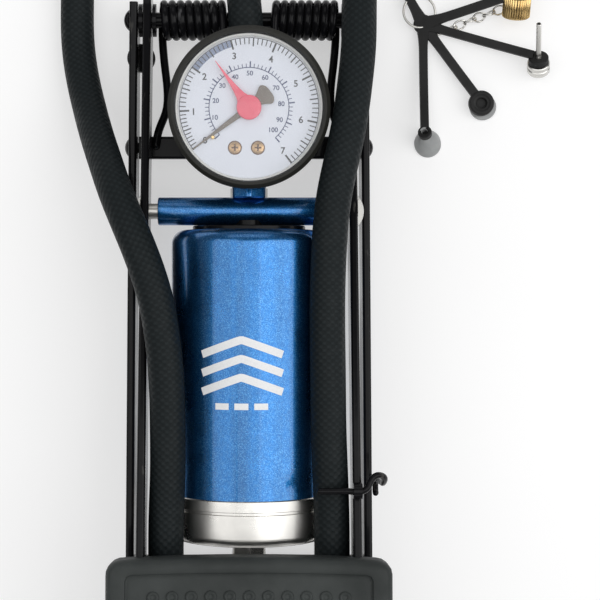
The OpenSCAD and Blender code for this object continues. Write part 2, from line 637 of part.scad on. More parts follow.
base_rail_left();
base_rail_right();
base_cross_bar();
base_end_plate();
base_rivets();
rubber_feet();
hinge_axle();
hinge_axle_cap();
hinge_washers();
torsion_spring_left();
torsion_spring_right();
rod_pin();
rod_pin_clips();
lever_arm_left();
lever_arm_right();
lever_end_bar();
pedal_plate();
pedal_pad();
pedal_rivets();
cylinder_pin();
pin_caps();
hook_saddle();
latch_hook();
barrel();
cross_tube();
end_cap();
cap_gasket();
rod_guide_bush();
outlet_nipple();
valve_ball();
valve_spring();
hose_ferrule();
gauge_stem();
gauge_case();
gauge_bezel();
gauge_lens();
gauge_dial();
gauge_movement();
dial_screws();
pressure_needle();
marker_pointer();
piston_rod();
rod_bumper();
piston();
piston_cup();
piston_nut();
hose_inlet();
hose_floor_loop();
hose_main_run();
hose_end_run();
connector_body();
connector_seal();
connector_lever();
connector_pin();
adaptor_strap();
strap_chain();
cone_nozzle();
round_nozzle();
ball_needle();
brass_adaptor();
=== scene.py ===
"""Looks of a folded foot air pump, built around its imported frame."""

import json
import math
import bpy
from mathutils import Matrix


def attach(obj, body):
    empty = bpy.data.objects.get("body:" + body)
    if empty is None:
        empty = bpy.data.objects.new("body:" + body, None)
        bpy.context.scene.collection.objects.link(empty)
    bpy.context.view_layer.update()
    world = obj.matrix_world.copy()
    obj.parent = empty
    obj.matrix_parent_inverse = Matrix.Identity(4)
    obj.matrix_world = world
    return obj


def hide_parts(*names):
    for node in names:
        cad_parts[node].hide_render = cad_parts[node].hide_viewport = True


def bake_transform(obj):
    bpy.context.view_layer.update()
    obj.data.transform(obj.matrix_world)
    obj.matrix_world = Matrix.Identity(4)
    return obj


bl_info = {
    "name": "Foot Air Pump",
    "version": (1, 0, 0),
    "blender": (4, 5, 0),
    "location": "View3D > Sidebar > Foot Pump",
    "description": "Gives a folded foot pump its paint, rubber, hose, springs and printed gauge",
    "category": "Object",
}

import bpy
import numpy as np
from bpy.props import FloatProperty, FloatVectorProperty, IntProperty, PointerProperty
from bpy.types import Operator, Panel, PropertyGroup

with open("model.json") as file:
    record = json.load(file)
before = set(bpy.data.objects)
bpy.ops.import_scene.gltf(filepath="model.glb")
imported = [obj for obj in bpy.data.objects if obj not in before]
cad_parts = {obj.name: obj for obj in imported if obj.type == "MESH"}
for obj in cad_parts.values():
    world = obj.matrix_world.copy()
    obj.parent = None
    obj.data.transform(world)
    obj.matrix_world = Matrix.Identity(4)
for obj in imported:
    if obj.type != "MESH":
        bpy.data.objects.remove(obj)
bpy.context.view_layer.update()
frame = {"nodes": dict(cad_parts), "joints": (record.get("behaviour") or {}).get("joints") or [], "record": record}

MM = 0.001
JOINTS = {j["name"]: j for j in frame["joints"]}
HINGE = np.array(JOINTS["lever_fold"]["pos_m"])
PIN = np.array(JOINTS["cylinder_pivot"]["pos_m"])
DIAL_CENTRE = np.array(JOINTS["needle_turn"]["pos_m"])
HOOK_PIVOT = np.array(JOINTS["hook_swing"]["pos_m"])
CYLINDER_TILT = math.degrees(math.asin(JOINTS["needle_turn"]["axis"][1]))
PEDAL_FRONT = np.array([0.0, -0.0684, 0.060])
PEDAL_TILT = -3.0
PEDAL_DEPTH = 62.6      # millimetres, as are the plain numbers below
BARREL_RADIUS = 27.5
DIAL_Z = -2.2           # of the dial's face from the pointers' joint
FIGURE_WEIGHT = 0.018   # of the dial's figures, as a share of their size
ARM_SAG = 0.4           # of a strap arm's lift, taken out along its middle
UP = (0, 0, 1)

CAMERA_AT = (0.00036, 0.0178, 0.650)    # in metres, straight above, looking down
CAMERA_LENS = 104.2
CAMERA_SHIFT = 0.0833
FLOOR_HALF = 20.0
WORLD_LIGHT = 0.18
LIGHTS = (  # name, place and size in metres, power in watts
    ("overhead", (0.0, 0.05, 1.35), (0.8, 0.8), 3.2),
    ("left_wall", (-0.95, 0.1, 1.35), (1.5, 1.1), 6.8),
    ("right_wall", (1.2, 0.0, 1.35), (1.5, 1.8), 18),
    ("front_fill", (0.1, -1.7, 1.0), (1.8, 1.0), 4),
    ("back_fill", (0.0, 1.8, 1.1), (1.8, 1.0), 4),
)

# The hose's route: x, distance ahead of the hinge, height, in millimetres
INLET = [
    (0, -62, 20.2), (0, -50, 20.4), (-0.3, -35, 20.6), (-0.6, -20, 21.4), (-1, -4.6, 24.2),
    (-2.4, 12, 23.2), (-3.1, 21, 19.8),
]
FLOOR_LOOP = [
    (-3.1, 21, 19.8), (-3.9, 34, 13.1), (-3.6, 45, 8.6), (-1.5, 58, 6.6), (4.5, 72, 6.3),
    (12, 87, 6.3), (18, 104, 6.3), (18.6, 122, 6.3), (12, 140, 6.3), (-1, 153, 6.3),
    (-18, 160.5, 6.3), (-36, 162, 6.3), (-54, 157.5, 6.3), (-70, 147, 6.3), (-81, 132, 6.3),
    (-85.5, 114, 6.3), (-83.5, 95, 6.3), (-77, 76, 6.3), (-70.5, 58, 6.3), (-66.4, 42, 6.3),
    (-64.2, 26, 6.3), (-63.6, 12, 6.3), (-63.5, -4, 6.7), (-61.8, -18, 9.2),
    (-58.6, -31, 15), (-54.8, -43, 24.2), (-50.7, -54, 34), (-46.4, -65, 42.8),
    (-41.6, -76, 48.6), (-36.6, -88, 51.6), (-32.4, -101, 52.6), (-29.8, -115, 52.8),
    (-28.4, -130, 52.6), (-28, -146, 52.4), (-28, -162, 51.8), (-28.5, -176, 50.8),
    (-28.7, -189, 49.8), (-29.6, -201, 45.8), (-33.2, -212, 42.4), (-35.4, -223, 41.2),
    (-31, -232, 41), (-22.5, -239, 41), (-11.5, -243, 41), (0, -244.2, 41),
]
PEDAL_BEND = [(-x, y, z) for x, y, z in FLOOR_LOOP[:-10:-1]]    # the loop's end, mirrored
END_RUN = PEDAL_BEND + [
    (28, -162, 51.8), (27.4, -146, 52.4), (27.2, -130, 52.6), (27, -115, 52.8),
    (27, -100, 52.8), (27.6, -84, 52.6), (29.4, -66, 51.8), (32.6, -51, 50.8),
    (35.2, -38, 49), (36.9, -26, 46.8), (38.2, -14, 44), (38.7, -2, 40.6), (39.2, 12, 34.8),
    (39.8, 26, 27), (40.4, 40, 19.4), (41, 53, 13.4), (41.7, 64, 10), (42, 78, 9.3),
]


# ---- curves and skins ----
def unit(vectors):
    """Each vector divided by its own length."""
    return vectors / np.linalg.norm(vectors, axis=-1, keepdims=True)


def placed(points, origin, degrees=0.0):
    """Millimetre points turned about X and moved: R(degrees) p / 1000 + origin."""
    c, s = math.cos(math.radians(degrees)), math.sin(math.radians(degrees))
    turn = np.array([[1, 0, 0], [0, c, -s], [0, s, c]])
    return np.asarray(points, float) * MM @ turn.T + np.asarray(origin, float)


def smooth_path(points, step):
    """A natural cubic through the points over chord length t: on each span
    p = (1-u) p0 + u p1 + h^2/6 (((1-u)^3-(1-u)) m0 + (u^3-u) m1), its second
    derivatives m from one linear solve, then spaced evenly along its length."""
    p = np.asarray(points, float)
    h = np.linalg.norm(np.diff(p, axis=0), axis=1)
    n = len(p)
    bend = np.eye(n)
    k = np.arange(1, n - 1)
    bend[k, k - 1], bend[k, k], bend[k, k + 1] = h[:-1], 2 * (h[:-1] + h[1:]), h[1:]
    slope = np.diff(p, axis=0) / h[:, None]
    rhs = np.zeros_like(p)
    rhs[1:-1] = 6 * np.diff(slope, axis=0)
    m = np.linalg.solve(bend, rhs)
    u = np.linspace(0, 1, 40, endpoint=False)[None, :, None]
    hh = (h * h / 6)[:, None, None]
    fine = (
        (1 - u) * p[:-1, None] + u * p[1:, None]
        + hh * (((1 - u) ** 3 - (1 - u)) * m[:-1, None] + (u ** 3 - u) * m[1:, None])
    ).reshape(-1, 3)
    fine = np.vstack([fine, p[-1]])
    run = np.concatenate([[0], np.cumsum(np.linalg.norm(np.diff(fine, axis=0), axis=1))])
    at = np.linspace(0, run[-1], max(int(round(run[-1] / step)), 4) + 1)
    return np.stack([np.interp(at, run, fine[:, c]) for c in range(3)], 1)


def shell(rings, loop=False, poles=None):
    """A closed skin: point k of ring i joins point k+1 and ring i+1. Open ends fan
    in to a pole. UV is distance along the rings' centres, and k / count around."""
    n, m = rings.shape[:2]
    i = np.arange(n if loop else n - 1)[:, None]
    k = np.arange(m)[None, :]
    ahead, beside = (i + 1) % n, (k + 1) % m
    quads = np.stack(
        [i * m + k, i * m + beside, ahead * m + beside, ahead * m + k], -1
    ).reshape(-1, 4)
    centres = np.vstack([rings.mean(1), rings[:1].mean(1)])
    run = np.concatenate([[0], np.cumsum(np.linalg.norm(np.diff(centres, axis=0), axis=1))])
    u0, u1 = run[i] + 0 * k, run[i + 1] + 0 * k
    v0, v1 = k / m + 0 * i, (k + 1) / m + 0 * i
    quad_uv = np.stack([u0, v0, u0, v1, u1, v1, u1, v0], -1).reshape(-1, 2)
    verts = rings.reshape(-1, 3)
    if loop:
        return verts, quads, np.zeros((0, 3), int), quad_uv
    first, last = poles if poles is not None else (rings[0].mean(0), rings[-1].mean(0))
    verts = np.vstack([verts, first, last])
    k, beside, end = k[0], beside[0], (n - 1) * m
    tris = np.vstack([
        np.stack([beside, k, np.full(m, n * m)], 1),
        np.stack([end + k, end + beside, np.full(m, n * m + 1)], 1),
    ])
    edge = np.repeat([run[0], run[n - 1]], m)
    kk = np.tile(k, 2) / m
    tri_uv = np.stack([edge, kk, edge, kk, edge, kk], -1).reshape(-1, 2)
    return verts, quads, tris, np.vstack([quad_uv, tri_uv])


def tube(path, radius, up, sides=20, domed=True):
    """A round skin on a path: ring point = p + r (cos a · side + sin a · lift), where
    side = t x up and lift = side x t. Domed ends carry on for r sin b at r cos b."""
    path = np.asarray(path, float)
    t = unit(np.gradient(path, axis=0))
    r = np.full(len(path), float(radius)) if np.isscalar(radius) else np.asarray(radius)
    if domed:
        b = np.radians([72, 48, 24])
        head = path[0] - t[0] * (r[0] * np.sin(b))[:, None]
        tail = path[-1] + t[-1] * (r[-1] * np.sin(b[::-1]))[:, None]
        path = np.vstack([head, path, tail])
        t = np.vstack([np.repeat(t[:1], 3, 0), t, np.repeat(t[-1:], 3, 0)])
        r = np.concatenate([r[0] * np.cos(b), r, r[-1] * np.cos(b[::-1])])
    side = unit(np.cross(t, np.asarray(up, float)))
    lift = np.cross(side, t)
    a = np.linspace(0, 2 * np.pi, sides, endpoint=False)[None, :, None]
    around = np.cos(a) * side[:, None] + np.sin(a) * lift[:, None]
    return shell(path[:, None] + r[:, None, None] * around)


def ribbon(path, half_width, half_thick, up):
    """A flat bar on a path, p + a w side + b h lift, its four corners (a, b) cut."""
    path = np.asarray(path, float)
    t = unit(np.gradient(path, axis=0))
    side = unit(np.cross(t, np.asarray(up, float)))
    lift = np.cross(side, t)
    corners = [(1, -0.5), (1, 0.5), (0.9, 1), (-0.9, 1), (-1, 0.5), (-1, -0.5), (-0.9, -1),
               (0.9, -1)]
    w = np.broadcast_to(half_width, len(path))[:, None]
    return shell(np.stack(
        [path + a * w * side + b * half_thick * lift for a, b in corners], 1
    ))


def turned(profile, sides=64, around=None):
    """A profile of (radius, height) turned about Z: (r cos a, r sin a, h). around
    scales the radius, as a function of the angle."""
    profile = np.asarray(profile, float)
    poles = None
    if profile[0, 0] == 0 and profile[-1, 0] == 0:
        poles = ([0, 0, profile[0, 1]], [0, 0, profile[-1, 1]])
        profile = profile[1:-1]
    a = np.linspace(0, 2 * np.pi, sides, endpoint=False)
    r = profile[:, :1] * (1 if around is None else around(a)[None, :])
    rings = np.stack([r * np.cos(a), r * np.sin(a), profile[:, 1:] + 0 * a], -1)
    return shell(rings, loop=poles is None, poles=poles)


def hexagon(a):
    """The radius of a hexagon with rounded corners at angle a, its flats at 0.9."""
    flat = 0.9 / np.cos(a % (np.pi / 3) - np.pi / 6)
    return np.minimum(flat, 1)


def knurl(a):
    """The radius of a straight knurl of 36 teeth at angle a, |cos| ridges 5% deep."""
    return 1 - 0.05 * np.abs(np.cos(18 * a))


def aimed(points, origin, direction):
    """Points with their Z axis turned to a direction, and their origin moved."""
    z = np.asarray(direction, float) / np.linalg.norm(direction)
    x = np.cross((0, 1, 0) if abs(z[1]) < 0.9 else (0, 0, 1), z)
    x /= np.linalg.norm(x)
    return points @ np.array([x, np.cross(z, x), z]) + np.asarray(origin, float)


def bars(centre, angle, length, width, z0, z1):
    """Upright boxes on a plane, one for each centre: corners c ± l/2 along the
    angle ± w/2 across it, from z0 to z1."""
    centre, angle = np.atleast_2d(centre), np.atleast_1d(angle)
    along = np.stack([np.cos(angle), np.sin(angle)], 1) * np.reshape(length, (-1, 1)) / 2
    across = np.stack([-np.sin(angle), np.cos(angle)], 1) * np.reshape(width, (-1, 1)) / 2
    flat = np.stack([centre - along - across, centre + along - across,
                     centre + along + across, centre - along + across], 1)
    n = len(flat)
    low = np.concatenate([flat, np.full((n, 4, 1), z0)], 2)
    high = np.concatenate([flat, np.full((n, 4, 1), z1)], 2)
    verts = np.concatenate([low, high], 1).reshape(-1, 3)
    one = np.array([[3, 2, 1, 0], [4, 5, 6, 7], [0, 1, 5, 4], [1, 2, 6, 5],
                    [2, 3, 7, 6], [3, 0, 4, 7]])
    quads = (one[None] + 8 * np.arange(n)[:, None, None]).reshape(-1, 4)
    return verts, quads, np.zeros((0, 3), int), np.zeros((len(quads) * 4, 2))


def arc_band(inner, outer, start, stop, z0, z1, steps=48):
    """A flat band between two radii, from angle start to stop in degrees."""
    a = np.radians(np.linspace(start, stop, steps))
    ring = np.stack([np.cos(a), np.sin(a), 0 * a], 1)
    rise = np.array([0, 0, 1.0])
    return shell(np.stack(
        [inner * ring + z0 * rise, outer * ring + z0 * rise,
         outer * ring + z1 * rise, inner * ring + z1 * rise], 1
    ))


def copies(skin, offsets):
    """One skin repeated at each offset, as one skin."""
    verts, quads, tris, uv = skin
    offsets = np.asarray(offsets, float)
    n, k = len(verts), len(offsets)
    step = n * np.arange(k)[:, None, None]
    count = [len(quads) * 4, len(tris) * 3]
    return (
        (verts[None] + offsets[:, None]).reshape(-1, 3),
        (quads[None] + step).reshape(-1, 4),
        (tris[None] + step).reshape(-1, 3),
        np.vstack([np.tile(uv[: count[0]], (k, 1)), np.tile(uv[count[0]:], (k, 1))]),
    )


def moved(skin, change):
    """The skin with its points passed through a function."""
    return (change(skin[0]), *skin[1:])


def facing_out(verts, quads, tris):
    """True where the enclosed volume, sum of a · (b x c) / 6, is positive."""
    halves = np.vstack([quads[:, [0, 1, 2]], quads[:, [0, 2, 3]], tris])
    a, b, c = (verts[halves[:, k]] for k in range(3))
    return np.einsum("ij,ij->", a - verts[0], np.cross(b - verts[0], c - verts[0])) > 0


def piece(name, skins, slot, body=None, nodes=(), material=None, sharp=35.0):
    """One object from one or more skins in metres, each turned to face outwards. It
    has its slot's finish unless a material is given, and replaces the CAD nodes."""
    skins = skins if isinstance(skins, list) else [skins]
    verts, faces, loops, base = [], [], [], 0
    for v, quads, tris, uv in skins:
        quad_uv = uv[: len(quads) * 4].reshape(-1, 4, 2)
        tri_uv = uv[len(quads) * 4:].reshape(-1, 3, 2)
        if not facing_out(v, quads, tris):
            quads, tris = quads[:, ::-1], tris[:, ::-1]
            quad_uv, tri_uv = quad_uv[:, ::-1], tri_uv[:, ::-1]
        verts.append(v)
        faces += (quads + base).tolist() + (tris + base).tolist()
        loops += [quad_uv.reshape(-1, 2), tri_uv.reshape(-1, 2)]
        base += len(v)
    mesh = bpy.data.meshes.new(name)
    mesh.from_pydata(np.vstack(verts).tolist(), [], faces)
    mesh.uv_layers.new(name="UVMap").data.foreach_set(
        "uv", np.vstack(loops).astype(np.float32).ravel()
    )
    mesh.shade_smooth()
    mesh.set_sharp_from_angle(angle=math.radians(sharp))
    mesh.materials.append(material or material_for(slot))
    made = bpy.data.objects.new(name, mesh)
    bpy.context.scene.collection.objects.link(made)
    if body:
        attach(made, body)
    if nodes:
        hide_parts(*nodes)
    return made


def figures(labels, size, z0, height):
    """Numbers for a dial as one skin each, flat prints from z0 up by height: each
    label is its text and its middle."""
    skins = []
    for text, x, y in labels:
        curve = bpy.data.curves.new("figure", "FONT")
        curve.body, curve.size, curve.extrude = text, size, height / 2
        curve.offset = size * FIGURE_WEIGHT
        curve.align_x, curve.align_y = "CENTER", "CENTER"
        holder = bpy.data.objects.new("figure", curve)
        bpy.context.scene.collection.objects.link(holder)
        bpy.context.view_layer.update()
        mesh = bpy.data.meshes.new_from_object(holder)
        mesh.calc_loop_triangles()
        verts = np.zeros(len(mesh.vertices) * 3)
        mesh.vertices.foreach_get("co", verts)
        tris = np.zeros(len(mesh.loop_triangles) * 3, int)
        mesh.loop_triangles.foreach_get("vertices", tris)
        verts = verts.reshape(-1, 3)
        verts[:, :2] -= (verts[:, :2].min(0) + verts[:, :2].max(0)) / 2
        verts += (x, y, z0 + height / 2)
        tris = tris.reshape(-1, 3)
        skins.append((verts, np.zeros((0, 4), int), tris, np.zeros((len(tris) * 3, 2))))
        bpy.data.objects.remove(holder)
        bpy.data.curves.remove(curve)
        bpy.data.meshes.remove(mesh)
    return skins


# ---- finishes ----
class Finish:
    """A material of one Principled shader, with short calls for its pattern nodes."""

    def __init__(self, name, colour, roughness, metallic=0.0, **sockets):
        self.material = bpy.data.materials.new(name)
        self.material.use_nodes = True
        self.tree = self.material.node_tree
        self.shader = self.tree.nodes["Principled BSDF"]
        self.shader.inputs["Base Color"].default_value = (*colour, 1.0)
        self.shader.inputs["Roughness"].default_value = roughness
        self.shader.inputs["Metallic"].default_value = metallic
        for key, value in sockets.items():
            self.shader.inputs[key.replace("_", " ")].default_value = value
        self.place = self.node("ShaderNodeTexCoord").outputs["Object"]

    def node(self, kind, settings=None, **inputs):
        """A node with its settings, and its inputs set or linked by name or place."""
        made = self.tree.nodes.new(kind)
        for key, value in (settings or {}).items():
            setattr(made, key, value)
        for key, value in inputs.items():
            key = key.replace("_", " ")
            key = int(key[2:]) if key.startswith("at") and key[2:].isdigit() else key
            self.put(made.inputs[key], value)
        return made

    def put(self, socket, value):
        """Links an output to the socket, or sets its plain value."""
        if isinstance(value, bpy.types.NodeSocket):
            self.tree.links.new(value, socket)
        else:
            socket.default_value = value

    def maths(self, operation, *values):
        """One Math node on up to three values."""
        inputs = {f"at{k}": v for k, v in enumerate(values)}
        return self.node("ShaderNodeMath", {"operation": operation}, **inputs).outputs[0]

    def stretched(self, scale):
        """Object coordinates scaled differently on each axis."""
        return self.node(
            "ShaderNodeMapping", Vector=self.place, Scale=scale
        ).outputs["Vector"]

    def noise(self, scale, detail=2.0, vector=None, out="Fac"):
        """Fractal noise, scale in cells a metre."""
        return self.node(
            "ShaderNodeTexNoise", Vector=vector or self.place, Scale=scale, Detail=detail
        ).outputs[out]

    def ramp(self, value, low, high, to_low, to_high):
        """value from low..high to to_low..to_high, held at both ends."""
        made = self.node("ShaderNodeMapRange", Value=value)
        for socket, number in zip(
            ("From Min", "From Max", "To Min", "To Max"), (low, high, to_low, to_high)
        ):
            made.inputs[socket].default_value = number
        return made.outputs["Result"]

    def mix(self, factor, first, second):
        """Two colours mixed by a factor."""
        made = self.node("ShaderNodeMix", {"data_type": "RGBA"})
        for socket, value in ((0, factor), (6, first), (7, second)):
            if isinstance(value, tuple):
                value = (*value, 1.0)
            self.put(made.inputs[socket], value)
        return made.outputs[2]

    def colour(self, value):
        self.put(self.shader.inputs["Base Color"], value)

    def roughness(self, value):
        self.put(self.shader.inputs["Roughness"], value)

    def bump(self, height, distance, strength=1.0):
        """Relief from a height of 0 to 1, distance in metres. Calls add up."""
        made = self.node(
            "ShaderNodeBump", Height=height, Distance=distance, Strength=strength
        )
        below = self.shader.inputs["Normal"].links
        if below:
            self.tree.links.new(below[0].from_socket, made.inputs["Normal"])
        self.tree.links.new(made.outputs[0], self.shader.inputs["Normal"])


def enamel(name, colour, scuff):
    """Stoved gloss paint: faint orange peel, dust in its roughness, rare pale scuffs."""
    f = Finish(name, colour, 0.2, Specular_IOR_Level=0.08, Coat_Weight=0.12, Coat_Roughness=0.05)
    f.bump(f.noise(420, 2), 0.00006, 0.6)
    f.bump(f.noise(90, 1), 0.0001, 0.35)
    dust = f.noise(35, 6)
    f.roughness(f.ramp(dust, 0.35, 0.7, 0.14, 0.34))
    marks = f.ramp(f.noise(1, 5, f.stretched((260, 70, 260))), 0.66, 0.74, 0, 0.55)
    f.colour(f.mix(marks, colour, scuff))
    return f.material


def bare_metal(name, colour, roughness, grain, depth):
    """Plated or machined metal: fine lines along the short scale of its grain, and
    slow patches of tone."""
    f = Finish(name, colour, roughness, 1.0)
    lines = f.noise(1, 3, f.stretched(grain))
    f.bump(lines, depth, 0.5)
    patches = f.noise(60, 4)
    f.roughness(f.ramp(patches, 0.3, 0.7, roughness * 0.75, roughness * 1.4))
    darker = tuple(c * 0.78 for c in colour)
    f.colour(f.mix(f.ramp(patches, 0.35, 0.75, 0, 1), colour, darker))
    return f.material


def flake_paint(colour, glint):
    """Metallic car paint: cells of 0.15 mm with a random tilt and brightness under a
    clear coat."""
    f = Finish("blue_flake_paint", colour, 0.28, 0.95, Coat_Weight=0.8, Coat_Roughness=0.08)
    cells = f.node("ShaderNodeTexVoronoi", Vector=f.place, Scale=6800.0)
    random = f.node("ShaderNodeSeparateColor", Color=cells.outputs["Color"])
    spark = f.ramp(random.outputs[0], 0.6, 1.0, 0, 0.5)
    deep = tuple(c * 0.6 for c in colour)
    streaks = f.noise(1, 3, f.stretched((210, 5, 210)))
    fine = f.ramp(f.noise(900, 2), 0.3, 0.7, 0.5, 1)
    tone = f.maths("MULTIPLY", f.ramp(streaks, 0.4, 0.6, 0.35, 1), fine)
    base = f.mix(tone, deep, colour)
    f.colour(f.mix(spark, base, glint))
    f.bump(random.outputs[1], 0.00002, 0.2)
    f.roughness(f.ramp(f.noise(120, 3), 0.3, 0.7, 0.25, 0.35))
    return f.material


def plain_rubber(name, colour, grain, depth, roughness):
    """Moulded rubber: a fine even grain, and bloom that pales it in patches."""
    f = Finish(name, colour, roughness, Specular_IOR_Level=0.2)
    f.bump(f.noise(grain, 3), depth, 0.7)
    bloom = f.ramp(f.noise(45, 5), 0.4, 0.75, 0, 0.5)
    f.colour(f.mix(bloom, colour, tuple(c * 1.9 + 0.01 for c in colour)))
    f.roughness(f.ramp(f.noise(200, 4), 0.3, 0.7, roughness - 0.08, roughness + 0.1))
    return f.material


def cloth_marked_rubber(colour, pitch, rows):
    """Hose rubber with the print of its wrapping cloth: dimples of height
    sin(2 pi u / 2 pitch) sin(pi rows v), u along and v around the hose."""
    f = Finish("hose_cloth_rubber", colour, 0.5, Specular_IOR_Level=0.12)
    uv = f.node("ShaderNodeSeparateXYZ", Vector=f.node("ShaderNodeTexCoord").outputs["UV"])
    along = f.maths("SINE", f.maths("MULTIPLY", uv.outputs[0], math.pi / pitch))
    around = f.maths("SINE", f.maths("MULTIPLY", uv.outputs[1], math.pi * rows))
    weave = f.maths("MULTIPLY", along, around)
    height = f.ramp(weave, -0.7, 0.7, 0, 1)
    f.bump(f.noise(1500, 3), 0.0001, 0.5)
    f.bump(height, 0.0002, 0.6)
    # Painted highlight: the weave's crests are coloured lighter than its hollows, as if lit.
    painted_crest_highlight = tuple(c * 1.7 + 0.002 for c in colour)
    f.colour(f.mix(f.ramp(weave, -0.2, 0.9, 0, 0.75), colour, painted_crest_highlight))
    f.roughness(f.ramp(f.noise(300, 4), 0.3, 0.7, 0.42, 0.62))
    return f.material


def moulded_plastic(name, colour, roughness, **sockets):
    """Moulded plastic: a shallow sink-mark wave and a fine satin grain."""
    f = Finish(name, colour, roughness, **sockets)
    f.bump(f.noise(1800, 2), 0.00004, 0.5)
    f.bump(f.noise(60, 1), 0.0002, 0.2)
    f.roughness(f.ramp(f.noise(90, 5), 0.3, 0.7, roughness * 0.8, roughness * 1.3))
    f.colour(f.mix(f.noise(25, 3), tuple(c * 0.85 for c in colour), colour))
    return f.material


def printed_card(colour):
    """Coated dial card: faint mottle and tooth."""
    f = Finish("dial_card", colour, 0.5)
    f.colour(f.mix(f.noise(260, 5), tuple(c * 0.94 for c in colour), colour))
    f.bump(f.noise(2500, 2), 0.00002, 0.4)
    return f.material


def ink(name, colour):
    """Screen-printed ink: slightly uneven cover."""
    f = Finish(name, colour, 0.45)
    f.colour(f.mix(f.ramp(f.noise(1600, 3), 0.4, 0.8, 0, 0.5), colour,
                   tuple(c * 0.7 + 0.1 for c in colour)))
    return f.material


def clear_lens():
    """Polished clear plastic with a hairline of wear in its gloss."""
    f = Finish("clear_lens", (0.95, 0.97, 1.0), 0.04, Alpha=0.07, IOR=1.49)
    f.roughness(f.ramp(f.noise(1, 4, f.stretched((900, 40, 900))), 0.5, 0.75, 0.03, 0.12))
    return f.material


def milky_plastic():
    """Translucent nozzle plastic."""
    f = Finish("milky_plastic", (0.5, 0.52, 0.52), 0.36, Transmission_Weight=0.45, IOR=1.45)
    f.colour(f.mix(f.noise(300, 3), (0.36, 0.37, 0.37), (0.6, 0.61, 0.61)))
    f.bump(f.noise(900, 2), 0.00005, 0.5)
    return f.material


def tinted_plastic(colour):
    """See-through dyed plastic of the marker pointer."""
    f = Finish("tinted_marker", colour, 0.15, Alpha=0.86, IOR=1.49)
    f.colour(f.mix(f.noise(500, 2), colour, tuple(min(1, c * 1.15 + 0.02) for c in colour)))
    return f.material


# ---- settings ----
def colour_setting(name, description, default):
    """A colour property of red, green and blue from 0 to 1."""
    return FloatVectorProperty(name=name, description=description, subtype="COLOR",
                               min=0, max=1, default=default)


class PumpColours(PropertyGroup):
    """Paint, rubber and print colours."""

    barrel: colour_setting(
        "Barrel", "Metallic paint of the barrel and its cross tube", (0.004, 0.135, 0.42))
    frame_paint: colour_setting(
        "Frame", "Gloss paint of the frame, lever and springs", (0.006, 0.006, 0.007))
    hose: colour_setting(
        "Hose", "Rubber of the hose", (0.009, 0.012, 0.013))
    pedal: colour_setting(
        "Pedal", "Rubber of the pedal pad", (0.029, 0.033, 0.032))
    marker: colour_setting(
        "Marker", "Dyed plastic of the gauge's marker pointer", (0.86, 0.1, 0.17))


class PumpSizes(PropertyGroup):
    """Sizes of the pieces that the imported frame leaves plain."""

    hose_diameter: FloatProperty(
        name="Hose Diameter", description="Outside diameter of the hose",
        unit="LENGTH", default=0.0123, min=0.008, max=0.0125,
    )
    cloth_pitch: FloatProperty(
        name="Cloth Pitch", description="Spacing of the cloth marks along the hose",
        unit="LENGTH", default=0.0012, min=0.0005, max=0.004,
    )
    cloth_rows: IntProperty(
        name="Cloth Rows", description="Rows of cloth marks around the hose, an even number",
        default=26, min=8, max=60,
    )
    spring_turns: FloatProperty(
        name="Spring Turns", description="Turns of each torsion spring",
        default=7.5, min=3.5, max=8.5,
    )
    spring_wire: FloatProperty(
        name="Spring Wire", description="Radius of the torsion springs' wire",
        unit="LENGTH", default=0.0015, min=0.0008, max=0.0016,
    )
    stud_pitch: FloatProperty(
        name="Stud Pitch", description="Spacing of the studs on the pedal",
        unit="LENGTH", default=0.0064, min=0.005, max=0.009,
    )
    stud_columns: IntProperty(
        name="Stud Columns", description="Studs in one row across the pedal",
        default=11, min=5, max=11,
    )
    stud_rows: IntProperty(
        name="Stud Rows", description="Rows of studs on the pedal",
        default=7, min=1, max=7,
    )


# ---- hose ----
def hose_line(route):
    """A stretch of the hose's centreline in the row frame, in metres."""
    line = smooth_path(route, 1.0) * MM
    line[:, 1] += HINGE[1]
    return line


def hose_stretch(context, name, route, length, body_pair, span, nodes, **facts):
    """One stretch of hose along its route, a tube in place of its CAD nodes."""
    sizes = context.scene.pump_sizes
    line = hose_line(route)
    made = piece(name, tube(line, sizes.hose_diameter / 2, UP, sides=32, domed=False),
                 "hose_rubber")
    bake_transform(made)
    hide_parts(*nodes)


MATERIALS = {}


def material_for(slot):
    """The finish of a material slot, made when first asked for."""
    if slot not in MATERIALS:
        MATERIALS[slot] = MAKERS[slot](bpy.context.scene)
    return MATERIALS[slot]


